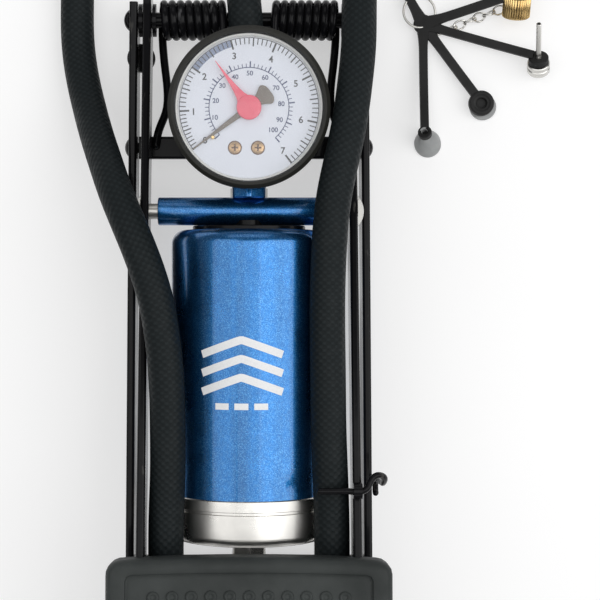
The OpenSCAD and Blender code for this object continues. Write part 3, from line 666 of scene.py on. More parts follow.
MAKERS = {
    "frame_black": lambda s: enamel(
        "stoved_black", tuple(s.pump_colours.frame_paint), (0.12, 0.115, 0.105)),
    "spring_steel": lambda s: enamel(
        "spring_black", tuple(s.pump_colours.frame_paint), (0.16, 0.16, 0.165)),
    "zinc_steel": lambda s: bare_metal(
        "zinc_plate", (0.66, 0.65, 0.62), 0.28, (900, 900, 90), 0.000008),
    "chrome": lambda s: bare_metal(
        "chrome_plate", (0.75, 0.735, 0.7), 0.25, (1100, 25, 1100), 0.00002),
    "blue_flake": lambda s: flake_paint(
        tuple(s.pump_colours.barrel), (0.2, 0.55, 0.92)),
    "rubber": lambda s: plain_rubber("black_rubber", (0.014, 0.014, 0.014), 1600, 0.00006, 0.5),
    "pedal_rubber": lambda s: plain_rubber(
        "pedal_rubber", tuple(s.pump_colours.pedal), 2200, 0.00008, 0.52),
    "hose_rubber": lambda s: cloth_marked_rubber(
        tuple(s.pump_colours.hose), s.pump_sizes.cloth_pitch, s.pump_sizes.cloth_rows),
    "gauge_plastic": lambda s: moulded_plastic(
        "gauge_plastic", (0.016, 0.016, 0.013), 0.4, Specular_IOR_Level=0.25),
    "lens_plastic": lambda s: clear_lens(),
    "dial_print": lambda s: printed_card((0.76, 0.79, 0.87)),
    "needle_brown": lambda s: moulded_plastic("needle_paint", (0.17, 0.14, 0.11), 0.4),
    "marker_red": lambda s: tinted_plastic(tuple(s.pump_colours.marker)),
    "brass": lambda s: bare_metal("brass", (0.78, 0.55, 0.24), 0.22, (200, 1500, 1500), 0.00002),
    "aluminium": lambda s: bare_metal(
        "aluminium", (0.78, 0.78, 0.79), 0.3, (1500, 80, 1500), 0.00002),
    "chuck_plastic": lambda s: moulded_plastic(
        "black_plastic", (0.012, 0.012, 0.013), 0.26, Coat_Weight=0.3, Coat_Roughness=0.1),
    "clear_plastic": lambda s: milky_plastic(),
}


class PUMP_OT_stage(Operator):
    """Camera straight above the folded pump, a pale floor and soft studio lights"""

    bl_idname = "pump.stage"
    bl_label = "Stage"

    def execute(self, context):
        scene = context.scene
        camera = bpy.data.objects.new("camera", bpy.data.cameras.new("camera"))
        camera.data.sensor_width = 36.0
        camera.data.lens = CAMERA_LENS
        camera.data.shift_x = CAMERA_SHIFT
        camera.location = CAMERA_AT
        scene.collection.objects.link(camera)
        scene.camera = camera

        corners = [(FLOOR_HALF * x, FLOOR_HALF * y, 0)
                   for x, y in ((-1, -1), (1, -1), (1, 1), (-1, 1))]
        mesh = bpy.data.meshes.new("floor")
        mesh.from_pydata(corners, [], [(0, 1, 2, 3)])
        floor = bpy.data.objects.new("floor", mesh)
        scene.collection.objects.link(floor)
        paper = Finish("pale_floor", (0.55, 0.55, 0.55), 0.7, Specular_IOR_Level=0.0,
                       Emission_Strength=0.5)
        paper.shader.inputs["Emission Color"].default_value = (1.0, 1.0, 1.0, 1.0)
        paper.colour(paper.mix(paper.noise(6, 3), (0.54, 0.54, 0.54), (0.57, 0.57, 0.57)))
        mesh.materials.append(paper.material)

        for name, place, size, power in LIGHTS:
            light = bpy.data.lights.new(name, "AREA")
            light.shape, light.size, light.size_y = "RECTANGLE", *size
            light.energy = power
            lamp = bpy.data.objects.new(name, light)
            lamp.location = place
            toward = lamp.location.copy()
            toward.negate()
            lamp.rotation_euler = toward.to_track_quat("-Z", "Y").to_euler()
            scene.collection.objects.link(lamp)
        world = scene.world or bpy.data.worlds.new("studio")
        scene.world = world
        world.use_nodes = True
        back = world.node_tree.nodes["Background"]
        back.inputs["Color"].default_value = (1.0, 1.0, 1.0, 1.0)
        back.inputs["Strength"].default_value = WORLD_LIGHT
        scene.view_settings.view_transform = "Standard"
        return {"FINISHED"}


class PUMP_OT_hose(Operator):
    """The hose in three stretches, each a tube along its own route"""

    bl_idname = "pump.hose"
    bl_label = "Hose"

    def execute(self, context):
        hose_stretch(
            context, "hose_inlet_cloth", INLET, 0.084, ("cylinder", "lever"),
            ((0, -58, 20.2), (0, 8, 20.2)), ["hose_inlet"], far_end="object",
        )
        hose_stretch(
            context, "hose_loop_cloth", FLOOR_LOOP, 0.665, ("lever", "base"),
            ((0, 14, 26), (0, 26, 13)), ["hose_floor_loop", "hose_main_run"], far_end="object",
        )
        hose_stretch(
            context, "hose_end_cloth", END_RUN, 0.36, ("lever", "base"),
            ((0, 0, 40), (0, 52, 40)), ["hose_end_run"], far_end="connector",
            with_pieces=[
                "connector_body", "connector_seal", "connector_lever", "connector_pin",
                "chain_links", "adaptor_strap_arms", "cone_nozzle_soft", "round_nozzle_cap",
                "ball_needle_tube", "brass_adaptor_knurled",
            ],
        )
        return {"FINISHED"}


class PUMP_OT_finishes(Operator):
    """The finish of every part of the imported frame, from its material slot"""

    bl_idname = "pump.finishes"
    bl_label = "Frame Finishes"

    def execute(self, context):
        for part in frame["record"]["subparts"]:
            mesh = frame["nodes"][part["node"]].data
            mesh.materials.clear()
            painted = part["node"] == "hinge_washers"
            mesh.materials.append(
                material_for("frame_black" if painted else part["material_slot"]))
        return {"FINISHED"}


class PUMP_OT_springs(Operator):
    """Both torsion springs, wound by the lever between an outer and an inner leg"""

    bl_idname = "pump.springs"
    bl_label = "Torsion Springs"

    def execute(self, context):
        sizes = context.scene.pump_sizes
        outer, inner, radius = 31.9, 9.4, 5.95
        a = np.linspace(0, sizes.spring_turns, int(sizes.spring_turns * 20) + 1)
        turn = 2 * np.pi * a - np.pi / 2
        coil = np.stack([
            outer + (inner - outer) * a / a[-1], radius * np.cos(turn), radius * np.sin(turn)
        ], 1)
        outer_leg = [(34.1, -45.6, 0.2), (32.9, -40, -0.4), (30.4, -33, -1.6), (29.9, -27, -2.6),
                     (30.9, -17, -4.2), (31.7, -9, -5.4)]
        inner_leg = [(9.4, -12, 6.6), (9.4, -37, 8.6), (9.4, -58.5, 9.6)]
        route = smooth_path(np.vstack([outer_leg, coil, inner_leg]), 0.55)
        for side, name in ((-1, "left"), (1, "right")):
            line = placed(route * (side, 1, 1), HINGE)
            made = piece(f"torsion_spring_{name}_wound",
                         tube(line, sizes.spring_wire, (1, 0, 0), sides=14), "spring_steel")
            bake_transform(made)
            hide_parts(f"torsion_spring_{name}")
        return {"FINISHED"}


def rounded_rectangle(half_w, half_d, r, count=160):
    """A rectangle with round corners, walked at an even pace: the corner arcs are
    (w - r, d - r) + r (cos a, sin a), joined by straight sides."""
    a = np.linspace(0, np.pi / 2, 12)
    arc = np.stack([np.cos(a), np.sin(a)], 1) * r
    w, d = half_w - r, half_d - r
    loop = np.vstack([
        arc + (w, d), arc[::-1] * (-1, 1) + (-w, d), arc * (-1, -1) + (-w, -d),
        arc[::-1] * (1, -1) + (w, -d),
    ])
    loop = np.vstack([loop, loop[:1]])
    run = np.concatenate([[0], np.cumsum(np.linalg.norm(np.diff(loop, axis=0), axis=1))])
    at = np.linspace(0, run[-1], count, endpoint=False)
    return np.stack([np.interp(at, run, loop[:, c]) for c in range(2)], 1)


class PUMP_OT_pedal(Operator):
    """The pedal's rubber pad with its rim, recess and rows of ring studs"""

    bl_idname = "pump.pedal"
    bl_label = "Pedal Pad"

    def execute(self, context):
        sizes = context.scene.pump_sizes
        half_width, corner, face, crown_depth, first_row = 48, 4.8, 12.15, 1.4, 13
        levels = [  # inset at the sides, inset at front and back, height
            (3.1, 3.1, 9), (3.1, 3.1, 0), (0.6, 0.6, 0), (0, 0, 0.7), (0, 0, 9.4),
            (0.15, 0.15, 10.6), (0.6, 0.6, 11.7), (1.3, 1.3, 12.5), (2.4, 2.4, 13),
            (6.1, 4.6, 13), (6.6, 5.1, 12.8), (6.9, 5.4, 12.1), (7.3, 5.8, 11.9),
            (7.9, 6.4, 12.15), (9, 7.5, 12.2), (12, 10, 12.2),
        ]
        rings = []
        for side, end, z in levels:
            flat = rounded_rectangle(
                half_width - side, PEDAL_DEPTH / 2 - end, max(corner - side, 2.0))
            rings.append(np.hstack([flat, np.full((len(flat), 1), z)]))
        pad = shell(np.array(rings))
        pitch = sizes.stud_pitch / MM
        column = (np.arange(sizes.stud_columns) - (sizes.stud_columns - 1) / 2) * pitch
        row = PEDAL_DEPTH / 2 - first_row - np.arange(sizes.stud_rows) * pitch
        x, y = np.meshgrid(column, row)
        stud = turned([(0, 0.25), (0.7, 0.28), (1.05, 0.6), (1.5, 0.72), (1.9, 0.5),
                       (2.15, -0.1), (0, -0.1)], sides=28)
        spots = np.stack([x.ravel(), y.ravel(), np.full(x.size, face)], 1)
        middle = (0, -PEDAL_DEPTH / 2, 0)

        def on_pedal(points):
            """Points on the plate, its front crowned: y - depth (x / half width)^2."""
            front = np.clip(points[:, 1] / (PEDAL_DEPTH / 2), 0, 1)
            crown = crown_depth * front * (points[:, 0] / half_width) ** 2
            shape = points - np.outer(crown, (0, 1, 0))
            return placed(shape + middle, PEDAL_FRONT, PEDAL_TILT)

        piece("pedal_pad_tread", [moved(skin, on_pedal) for skin in (pad, copies(stud, spots))],
              "pedal_rubber", "lever", ["pedal_pad"])
        return {"FINISHED"}


class PUMP_OT_mark(Operator):
    """A plain printed mark on the barrel: chevrons pointing to the outlet and a bar"""

    bl_idname = "pump.mark"
    bl_label = "Barrel Mark"

    def execute(self, context):
        aside, top, depth = -2.6, -44.5, 0.04
        half, point, spacing, stroke = 14.5, 5.2, 6.4, 1.35
        bar_at, bar_length, bar_stroke = -67.4, 4.8, 1.1

        def on_barrel(points):
            """Flat (x, y, h) wrapped on: ((R+h) sin(x/R), y, (R+h) cos(x/R))."""
            turn = (points[:, 0] + aside) / BARREL_RADIUS
            r = BARREL_RADIUS + points[:, 2]
            return placed(
                np.stack([r * np.sin(turn), points[:, 1], r * np.cos(turn)], 1),
                PIN, CYLINDER_TILT,
            )

        skins = []
        for k in range(3):
            x = np.linspace(-half, half, 81)
            rise = point * (1 - np.sqrt((x / half) ** 2 + 0.0012))
            line = np.stack([x, top - spacing * k - point + rise, 0 * x + depth], 1)
            skins.append(moved(ribbon(line, stroke, depth, UP), on_barrel))
        for x0 in (-9.2, -2.4, 4.4):
            x = np.linspace(x0, x0 + bar_length, 13)
            line = np.stack([x, 0 * x + bar_at, 0 * x + depth], 1)
            skins.append(moved(ribbon(line, bar_stroke, depth, UP), on_barrel))
        piece("barrel_mark", skins, "dial_print", "cylinder",
              material=ink("white_ink", (0.86, 0.87, 0.88)))
        return {"FINISHED"}


def on_dial(points):
    """Points about the pointers' axis, in the gauge's tilted frame."""
    return placed(points, DIAL_CENTRE, CYLINDER_TILT)


def at_angle(degrees, radius):
    """Points on a circle of the dial."""
    a = np.radians(degrees)
    return np.stack([np.cos(a), np.sin(a)], -1) * np.reshape(radius, (-1, 1))


class PUMP_OT_dial(Operator):
    """The dial's printed scales and figures, its pale inner rim and needle stop"""

    bl_idname = "pump.dial"
    bl_label = "Gauge Dial"

    outer_angles = (216.6, 183.0, 144.7, 105.2, 67.0, 27.3, -12.5, -52.4)
    inner_angles = (222.5, 195.4, 169.2, 142.0, 115.6, 88.2, 61.2, 34.5, 6.4, -21.6, -48.6)
    outer_figures = (
        ("0", -15.2, -11.3), ("1", -19.2, -1.4), ("2", -15.4, 10.7), ("3", -5.1, 17.8),
        ("4", 7.6, 16.7), ("5", 16.2, 8.3), ("6", 18.0, -4.2), ("7", 11.8, -14.9),
    )
    inner_figures = (
        ("10", -11.7, -3.4), ("20", -11.5, 2.4), ("30", -9.2, 7.6), ("40", -4.8, 10.6),
        ("50", 0.3, 11.9), ("60", 5.6, 10.4), ("70", 9.4, 6.8), ("80", 11.2, 1.3),
        ("90", 10.6, -4.2), ("100", 8.5, -7.7),
    )

    def execute(self, context):
        low, high = DIAL_Z + 0.02, DIAL_Z + 0.06

        def scale(name, angle, length, width, middle, band, labels, size, print_ink):
            """Ticks about the radius middle, the arc they stand on, and the figures."""
            skins = [bars(at_angle(angle, middle), np.radians(angle), length, width, low, high),
                     arc_band(*band[:4], low, high, band[4])]
            skins += figures(labels, size, low, high - low)
            piece(name, [moved(skin, on_dial) for skin in skins], "dial_print", "cylinder",
                  material=print_ink)

        tenth = np.arange(0, 71)
        sorts = [tenth % 10 == 0, tenth % 5 == 0]
        length = np.select(sorts, [3.4, 2.9], 2.2)
        scale("dial_outer_scale", np.interp(tenth / 10, range(8), self.outer_angles), length,
              np.select(sorts, [0.62, 0.44], 0.34), 24.1 - length / 2,
              (24.0, 24.25, -53.5, 217.5, 140), self.outer_figures, 3.2,
              ink("black_ink", (0.012, 0.012, 0.014)))
        even = np.arange(0, 101, 2)
        tens = [even % 10 == 0]
        length = np.select(tens, [2.1], 1.3)
        scale("dial_inner_scale", np.interp(even, range(0, 101, 10), self.inner_angles), length,
              np.select(tens, [0.46], 0.26), 13.9 + length / 2,
              (13.7, 14.0, -48.6, 222.5, 120), self.inner_figures, 2.3,
              ink("navy_ink", (0.03, 0.045, 0.14)))
        band = arc_band(21.7, 24.0, 105.2, 144.7, low - 0.015, high - 0.02)
        piece("dial_band", moved(band, on_dial), "dial_print", "cylinder",
              material=ink("slate_ink", (0.2, 0.25, 0.38)))

        rim = turned([(25.35, 0.05), (24.9, -0.3), (24.45, DIAL_Z + 0.3), (24.4, DIAL_Z + 0.02),
                      (25.35, DIAL_Z + 0.02)], sides=128)
        piece("dial_rim", moved(rim, on_dial), "dial_print", "cylinder",
              material=moulded_plastic("rim_plastic", (0.8, 0.8, 0.76), 0.3))
        stop = turned([(0, 0.9), (0.5, 0.9), (0.7, 0.7), (0.7, 0), (0, 0)], sides=24)
        piece("needle_stop", moved(stop, lambda p: on_dial(p + (-12.5, -10.3, DIAL_Z))),
              "brass", "cylinder")
        return {"FINISHED"}


class PUMP_OT_pointers(Operator):
    """The pressure needle with its fan tail, and the tinted marker with its hub"""

    bl_idname = "pump.pointers"
    bl_label = "Pointers"

    def execute(self, context):
        def pointer(stations, degrees, z, thick):
            """A flat blade of half width w at distance x along an angle, squared off."""
            x, w = np.array(stations, float).T
            line = np.stack([x, 0 * x, 0 * x + z], 1)
            skin = ribbon(line, w, thick / 2, UP)
            turn = math.radians(degrees)
            c, s = math.cos(turn), math.sin(turn)
            return moved(skin, lambda p: on_dial(
                np.stack([c * p[:, 0] - s * p[:, 1], s * p[:, 0] + c * p[:, 1], p[:, 2]], 1)))

        blade = [(-9.25, 1.3), (-9.05, 2.3), (-8.5, 3.2), (-7.7, 3.72), (-7, 3.6), (-5.6, 2.7),
                 (-4.4, 2.0), (-3, 1.5), (0, 1.25), (5, 1.0), (12, 0.7), (24.4, 0.12)]
        boss = turned([(0, 0.5), (1.6, 0.5), (1.8, 0.3), (1.8, -0.3), (0, -0.3)], sides=48)
        piece("needle_blade",
              [pointer(blade, 216.6, DIAL_Z + 0.75, 0.28),
               moved(boss, lambda p: on_dial(p + (0, 0, DIAL_Z + 0.5)))],
              "needle_brown", "needle", ["pressure_needle"])

        arm = [(3.2, 2.7), (3.9, 2.1), (5, 1.65), (7, 1.2), (10, 0.8), (14, 0.46), (18, 0.2),
               (19.8, 0.08)]
        hub = turned([(0, 0.45), (3.7, 0.45), (4.15, 0.3), (4.32, 0), (4.32, -0.3), (0, -0.3)],
                     sides=72)
        piece("marker_blade",
              [pointer(arm, 126, DIAL_Z + 1.4, 0.3),
               moved(hub, lambda p: on_dial(p + (0, 0, DIAL_Z + 1.5)))],
              "marker_red", "marker", ["marker_pointer"])
        return {"FINISHED"}


class PUMP_OT_hook(Operator):
    """The bent wire hook that holds the folded lever to its frame"""

    bl_idname = "pump.hook"
    bl_label = "Hook"

    def execute(self, context):
        bends = [
            (24, 0, 0), (29, 0, 0), (34, 0, 0), (38.3, 0, 0), (40.4, 1.4, -0.2), (41.5, 3.8, -0.7),
            (43.6, 5.3, -1.4), (45.7, 4.7, -3), (46.2, 2.5, -7.4), (46.2, 1.5, -14),
            (46.2, 0.9, -26), (46.2, 0.2, -41), (46.2, -1.4, -45.9), (46.2, -3.6, -47.2),
            (46.2, -5.6, -45.6),
        ]
        wire = 0.0011
        line = placed(smooth_path(bends, 0.5), HOOK_PIVOT)
        piece("latch_hook_wire", tube(line, wire, (0.3, 1, 0.25), sides=18), "frame_black",
              "hook", ["latch_hook"])
        return {"FINISHED"}


class PUMP_OT_head(Operator):
    """The barrel with its round shoulder, the cross tube on its neck, and the gauge's
    hexagonal stem; the neck's black and its wide disc are painted shade"""

    bl_idname = "pump.head"
    bl_label = "Barrel, Cross Tube and Stem"

    def execute(self, context):
        half, radius, bore = 32.3, 5.0, 2.9
        profile = [(bore, -half), (4.5, -half), (4.85, -half + 0.15), (radius, -half + 0.5),
                   (radius, half - 0.5), (4.85, half - 0.15), (4.5, half), (bore, half)]

        def along_x(points):
            return placed(points[:, [2, 0, 1]], PIN, CYLINDER_TILT)

        def along_y(points):
            return placed(points[:, [1, 2, 0]], PIN, CYLINDER_TILT)

        head, end, shoulder, wall = -6.6, -104.0, 5.0, 2.0
        a = np.radians(np.linspace(0, 90, 15))
        corner = np.stack([np.sin(a), np.cos(a)], 1)
        outside = corner * shoulder + (BARREL_RADIUS - shoulder, head - shoulder)
        inside = corner * (shoulder - wall) + (BARREL_RADIUS - shoulder, head - shoulder)
        skin = np.vstack([(4.7, head), (12, head), outside, (BARREL_RADIUS, end),
                          (BARREL_RADIUS - wall, end), inside[::-1], (4.7, head - wall)])
        barrel = moved(turned(skin, sides=240), along_y)
        piece("barrel_painted", barrel, "blue_flake", "cylinder", ["barrel"])
        piece("cross_tube_painted", moved(turned(profile, sides=72), along_x), "blue_flake",
              "cylinder", ["cross_tube"])
        # The neck joins the cross tube to the barrel's head; its black and its disc of 20 mm radius are painted
        # shade, a dark plate laid where the gap under the tube lies in shade.
        neck = turned([(0, -6.8), (19.6, -6.8), (20, -6.5), (20, -5.5), (19.6, -5.2), (5, -5.2),
                       (5, -3.2), (0, -3.2)], sides=96)
        piece("cylinder_neck_painted_shade", moved(neck, along_y), "frame_black", "cylinder")
        stem = turned([(0, 4.6), (5.9, 4.6), (6.5, 5.1), (6.5, 10.6), (6.1, 11.2), (0, 11.2)],
                      sides=96, around=hexagon)
        piece("gauge_stem_hexagon", moved(stem, along_y), "blue_flake", "cylinder",
              ["gauge_stem"])
        gland = turned([(4.2, -122.2), (5.9, -122.2), (6.5, -121.7), (6.5, -113.5),
                        (4.2, -113.5)], sides=96, around=hexagon)
        piece("rod_guide_gland", moved(gland, along_y), "chrome", "cylinder",
              ["rod_guide_bush"])
        return {"FINISHED"}


class PUMP_OT_screws(Operator):
    """The dial's two brass screws, domed, with a cross recess in each, and painted shade in the recesses and round
    the heads
    """

    bl_idname = "pump.screws"
    bl_label = "Dial Screws"

    def execute(self, context):
        reach, dome, slot_half, slot_end, depth = 2.05, 0.75, 0.27, 1.15, 0.45
        r = np.concatenate([np.linspace(0.06, 1.3, 22), np.linspace(1.4, reach, 8)])
        a = np.linspace(0, 2 * np.pi, 96, endpoint=False)
        x, y = np.outer(r, np.cos(a)), np.outer(r, np.sin(a))
        arm = np.minimum(np.abs(x), np.abs(y)) < slot_half
        inside = np.maximum(np.abs(x), np.abs(y)) < slot_end
        z = dome * np.sqrt(1 - 0.75 * (r / reach) ** 2)[:, None] - depth * (arm & inside)
        top = np.stack([x, y, z], -1)
        foot = top[-1:] * (1, 1, 0)
        head = shell(np.vstack([top, foot]), poles=((0, 0, z[0].min()), (0, 0, 0)))
        spots = [(-4.9, -13.9, DIAL_Z), (3.1, -13.9, DIAL_Z)]
        bronze = bare_metal("bronze", (0.6, 0.4, 0.22), 0.34, (900, 900, 900), 0.00002)
        piece("dial_screws_crosshead", moved(copies(head, spots), on_dial), "brass",
              "cylinder", ["dial_screws"], bronze, sharp=28)
        # Painted shade: dark brown bars in each cross recess and a thin dark ring round each head.
        cross = bars([(0, 0), (0, 0)], np.radians([0, 90]), 2.2, 2 * slot_half - 0.04, 0.1, 0.36)
        rim_shade = turned([(2.0, 0.02), (2.4, 0.02), (2.45, 0.06), (2.4, 0.12), (2.0, 0.12)],
                        sides=48)
        piece("dial_screw_shadows",
              [moved(copies(skin, spots), on_dial) for skin in (cross, rim_shade)],
              "brass", "cylinder", material=ink("painted_screw_shade", (0.13, 0.06, 0.025)))
        return {"FINISHED"}


def laid(points):
    """Points of the row frame, x, distance ahead of the hinge and height, in metres."""
    return np.asarray(points, float) * MM + (0, HINGE[1], 0)


def stood(skin, centre, direction=UP):
    """A skin in millimetres stood at a centre of the row frame, its Z along a direction."""
    return moved(skin, lambda p: laid(aimed(p, centre, direction)))


def link(half_length, half_width, wire, roll):
    """A closed oval wire link along X, c = (l cos t, w sin t, 0), its wire round in the
    plane of c and Z, rolled about X and twisted by x / 5 radians like a curb chain."""
    t = np.linspace(0, 2 * np.pi, 40, endpoint=False)
    centre = np.stack([half_length * np.cos(t), half_width * np.sin(t), 0 * t], 1)
    out = unit(np.stack([np.cos(t) / half_length, np.sin(t) / half_width, 0 * t], 1))
    a = np.linspace(0, 2 * np.pi, 10, endpoint=False)[None, :, None]
    rings = centre[:, None] + wire * (np.cos(a) * out[:, None] + np.sin(a) * np.array([0, 0, 1]))

    def twist(points):
        turn = roll + points[:, 0] / 5
        c, s = np.cos(turn), np.sin(turn)
        y, z = points[:, 1], points[:, 2]
        return np.stack([points[:, 0], c * y - s * z, s * y + c * z], 1)

    return moved(shell(rings, loop=True), twist)


def chain(route, links, half_length):
    """Links spaced evenly on a route, every other one rolled a quarter turn."""
    path = smooth_path(route, 0.25)
    at = (np.arange(links) + 0.5) / links * (len(path) - 1)
    slope = np.gradient(path, axis=0)
    skins = []
    for k, spot in enumerate(at.astype(int)):
        x = unit(slope[spot])
        y = unit(np.cross(UP, x))
        basis = np.array([x, y, np.cross(x, y)])
        one = link(half_length, 1.6, 0.4, 0.3 + (k % 2) * math.pi / 2)
        skins.append(moved(one, lambda p, b=basis, c=path[spot]: laid(p @ b + c)))
    return skins


def ring_of_wire(centre, radius, wire, direction, turns=1.0, rise=0.0):
    """A ring of wire facing a direction; a split ring has two turns a wire apart."""
    t = np.linspace(0, 2 * np.pi * turns, int(72 * turns) + 1)
    line = np.stack([radius * np.cos(t), radius * np.sin(t), rise * t / t[-1]], 1)
    return stood(tube(line, wire, UP, sides=12), centre, direction)


STRAP_HUB = (64.9, 0.6, 2.4)
CONE_TIP = (65.0, -40.5, 8.4)
CONE_FOOT = (66.9, -44.05, 0.05)
CAP_TOP = (86.4, -29.0, 5.2)
NEEDLE_FOOT = (107.8, -17.0, 2.9)
NEEDLE_AIM = (-0.12, 0.62, 0.77)
BRASS_FOOT = (98.8, 2.6, 6.4)
BRASS_AIM = (0.02, 0.9, 0.43)


class PUMP_OT_strap(Operator):
    """The adaptors' rubber strap: five arms from one hub, an eye at the end of each"""

    bl_idname = "pump.strap"
    bl_label = "Adaptor Strap"

    def execute(self, context):
        collar = np.array(NEEDLE_FOOT) + 6.0 * unit(np.array(NEEDLE_AIM))
        brass_eye = np.array(BRASS_FOOT) + 8.9 * unit(np.array(BRASS_AIM))
        arms = [  # where it ends, how far below that it bends up, and its half width
            (np.array(CONE_TIP) + (-0.1, 1.9, -0.2), 2.6, 1.6),
            (np.array(CAP_TOP) + (-2.2, 3.2, -1.4), 1.2, 1.7),
            (collar + (-2.0, 1.6, 0.4), 2.0, 1.6),
            (brass_eye + (-3.9, -0.9, -0.6), 2.4, 1.75),
            (np.array((57.6, 14.3, 2.4)), 0.0, 1.65),
        ]
        skins = []
        half_thick, lowest = 1.15, 1.25
        hub = np.array(STRAP_HUB)
        for end, lift, half in arms:
            u = np.linspace(0, 1, 28)[:, None]
            line = hub + u * (end - hub)
            line[:, 2] -= lift * (u * (1 - u))[:, 0] * 4 * ARM_SAG
            line[:, 2] = np.maximum(line[:, 2], lowest)
            width = half * (1 + 0.55 * np.exp(-((u[:, 0] * np.linalg.norm(end - hub)) / 5) ** 2))
            skins.append(moved(ribbon(line, width, half_thick, UP), laid))

        def eye(centre, direction, outer, hole, half):
            """A ring with soft edges, from the radius hole to outer, half thick each way."""
            soft = 0.25 * half
            side = [(hole, half - soft), (hole + soft, half), (outer - soft, half),
                    (outer, half - soft)]
            profile = [(r, -z) for r, z in side] + side[::-1]
            return stood(turned(profile, sides=56), centre, direction)

        lean = np.array(CONE_TIP) - CONE_FOOT
        skins += [
            stood(turned([(0, -1.15), (2.3, -1.15), (2.55, -0.9), (2.55, 0.9), (2.3, 1.15),
                          (1.45, 1.15), (1.25, 0.9), (1.15, -0.7), (0, -0.7)], sides=56),
                  CONE_TIP, lean),
            eye(collar, NEEDLE_AIM, 3.7, 0.9, 1.35),
            eye(brass_eye, BRASS_AIM, 4.9, 3.4, 1.1),
            eye((57, 16, 2.4), UP, 4.2, 2.3, half_thick),
            stood(turned([(0, -1.1), (3.3, -1.1), (3.6, -0.7), (3.6, 0.7), (3.3, 1.1), (0, 1.1)],
                         sides=64), STRAP_HUB),
        ]
        piece("adaptor_strap_arms", skins, "rubber", "base", ["adaptor_strap"])
        return {"FINISHED"}


class PUMP_OT_adaptors(Operator):
    """The cone, the capped nozzle, the ball needle and the knurled brass adaptor"""

    bl_idname = "pump.adaptors"
    bl_label = "Adaptors"

    def execute(self, context):
        lean = np.array(CONE_TIP) - CONE_FOOT
        height = np.linalg.norm(lean)

        def sheared(points):
            """z carries a point along the cone's lean: p + (z / lean_z) lean_xy."""
            return laid(points + np.outer(points[:, 2] / lean[2], (lean[0], lean[1], 0))
                        + CONE_FOOT)

        cone = turned([
            (3.9, 0), (4.7, 0), (5, 0.3), (5, 1.1), (4.8, 1.4), (2.3, height - 1.6),
            (1.95, height - 1.3), (1.9, height - 0.4), (1.15, height - 0.4),
            (1.15, height - 2), (3.6, 1.2)], sides=72)
        piece("cone_nozzle_soft", moved(cone, sheared), "clear_plastic", "base",
              ["cone_nozzle"])

        flange = turned([(0, 0), (4.6, 0), (4.95, 0.3), (4.95, 1.7), (4.6, 2), (0, 2)], sides=72)
        piece("round_nozzle_flange", stood(flange, (CAP_TOP[0] + 0.9, CAP_TOP[1] - 1.1, 0.1)),
              "clear_plastic", "base")
        cap = turned([
            (0, -3.1), (4.4, -3.1), (4.7, -2.8), (4.75, -0.9), (4.5, -0.2), (4, 0.1), (3.3, 0.1),
            (2.8, -0.25), (2.2, -0.3), (1.9, -0.6), (1.8, -1.9), (0, -1.9)], sides=72)
        piece("round_nozzle_cap", stood(cap, CAP_TOP), "rubber", "base", ["round_nozzle"])

        needle = turned([
            (0, 0), (3.4, 0), (4, 0.35), (4.25, 0.9), (4.25, 2.5), (4.1, 2.65), (3.95, 2.8),
            (4.1, 2.95), (4.2, 3.1), (4.2, 4.4), (3.9, 4.7), (1.2, 4.7), (1.2, 7.8), (0.98, 8.2),
            (0.95, 8.6), (0.95, 23.6), (0.8, 23.8), (0.55, 23.8), (0.5, 23.6), (0.5, 20),
            (0, 20)], sides=64)
        piece("ball_needle_tube", stood(needle, NEEDLE_FOOT, NEEDLE_AIM), "zinc_steel",
              "base", ["ball_needle"])

        grip = turned([(0, 0), (4.6, 0), (5.15, 0.5), (5.15, 7.4), (4.7, 7.9), (0, 7.9)],
                      sides=360, around=knurl)
        s = np.linspace(0, 1, 61)
        ridge = 3.75 + 0.25 * np.cos(s * 2 * np.pi * 6)
        thread = turned(np.vstack([(0, 7.5), np.stack([ridge, 7.6 + 4.6 * s], 1), (2.6, 12.3),
                                   (2.5, 10), (0, 10)]), sides=64)
        piece("brass_adaptor_knurled",
              [stood(skin, BRASS_FOOT, BRASS_AIM) for skin in (grip, thread)],
              "brass", "base", ["brass_adaptor"], sharp=50)
        return {"FINISHED"}


class PUMP_OT_chain(Operator):
    """The split ring at the strap's hub, its chain to the brass adaptor, and the chain
    and ring that hold the strap to the hose"""

    bl_idname = "pump.chain"
    bl_label = "Chain and Rings"

    def execute(self, context):
        skins = [ring_of_wire((63.4, 5.2, 2.2), 6.0, 0.42, (0.1, 0.05, 1), 1.9, 0.9)]
        skins += chain([(69.4, -1.6, 2.1), (74, -1.2, 2.1), (80.5, 1.2, 2.2), (88, 4.0, 2.6),
                        (95, 6.4, 3.4)], 7, 2.4)
        skins += chain([(57, 15.4, 4.4), (55, 25, 3.4), (53.5, 35, 6.6), (50.2, 44.4, 12.0)],
                       9, 2.3)
        skins.append(ring_of_wire((40.7, 47, 16.2), 7.6, 0.75, (0, 0.89, -0.45)))
        piece("chain_links", skins, "chrome", "base", ["strap_chain"])
        return {"FINISHED"}


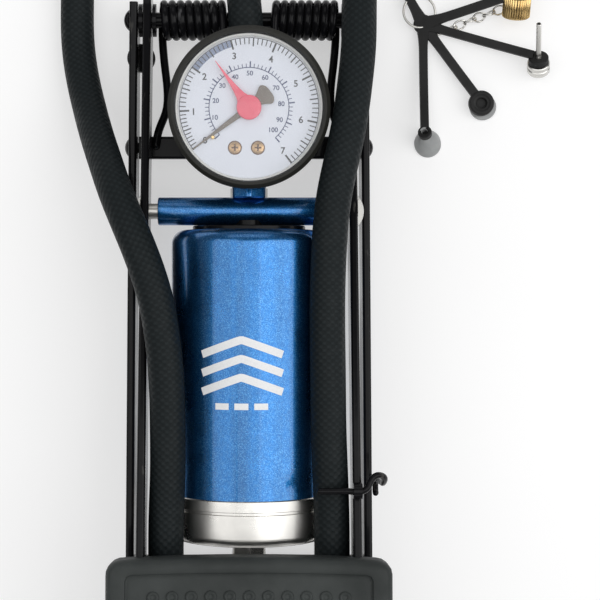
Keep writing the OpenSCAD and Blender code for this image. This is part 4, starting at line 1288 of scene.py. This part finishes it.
class PUMP_OT_grips(Operator):
    """Raised grip rings around the tyre connector's body"""

    bl_idname = "pump.grips"
    bl_label = "Connector Grips"

    def execute(self, context):
        body_radius, first, pitch, count = 8.9, 86.4, 1.9, 6
        rib = turned([(body_radius, -0.6), (9.2, -0.45), (9.25, 0), (9.2, 0.45),
                      (body_radius, 0.6)], sides=72)
        spots = [(0, 0, k * pitch) for k in range(count)]
        piece("connector_grips",
              moved(copies(rib, spots), lambda p: laid(p[:, [0, 2, 1]] + (42, first, 9.3))),
              "chuck_plastic", "base")
        return {"FINISHED"}


OPERATORS = (
    PUMP_OT_stage, PUMP_OT_finishes, PUMP_OT_springs, PUMP_OT_pedal, PUMP_OT_head,
    PUMP_OT_mark, PUMP_OT_dial, PUMP_OT_screws, PUMP_OT_pointers, PUMP_OT_hook,
    PUMP_OT_strap, PUMP_OT_adaptors, PUMP_OT_chain, PUMP_OT_grips, PUMP_OT_hose,
)


class PUMP_PT_panel(Panel):
    """Lists the pump's settings and its pieces in the order they are made."""

    bl_idname = "PUMP_PT_panel"
    bl_label = "Foot Pump"
    bl_space_type = "VIEW_3D"
    bl_region_type = "UI"
    bl_category = "Foot Pump"

    def draw(self, context):
        for group in (context.scene.pump_colours, context.scene.pump_sizes):
            box = self.layout.box()
            for key in group.bl_rna.properties.keys():
                if key not in ("name", "rna_type"):
                    box.prop(group, key)
        for operator in OPERATORS:
            self.layout.operator(operator.bl_idname)


CLASSES = (PumpColours, PumpSizes, *OPERATORS, PUMP_PT_panel)


def register():
    for cls in CLASSES:
        bpy.utils.register_class(cls)
    bpy.types.Scene.pump_colours = PointerProperty(type=PumpColours)
    bpy.types.Scene.pump_sizes = PointerProperty(type=PumpSizes)


def unregister():
    del bpy.types.Scene.pump_sizes
    del bpy.types.Scene.pump_colours
    for cls in reversed(CLASSES):
        bpy.utils.unregister_class(cls)


def main():
    """Makes every piece in order."""
    register()
    for operator in OPERATORS:
        getattr(bpy.ops.pump, operator.bl_idname.split(".")[1])()


if __name__ == "__main__":
    main()
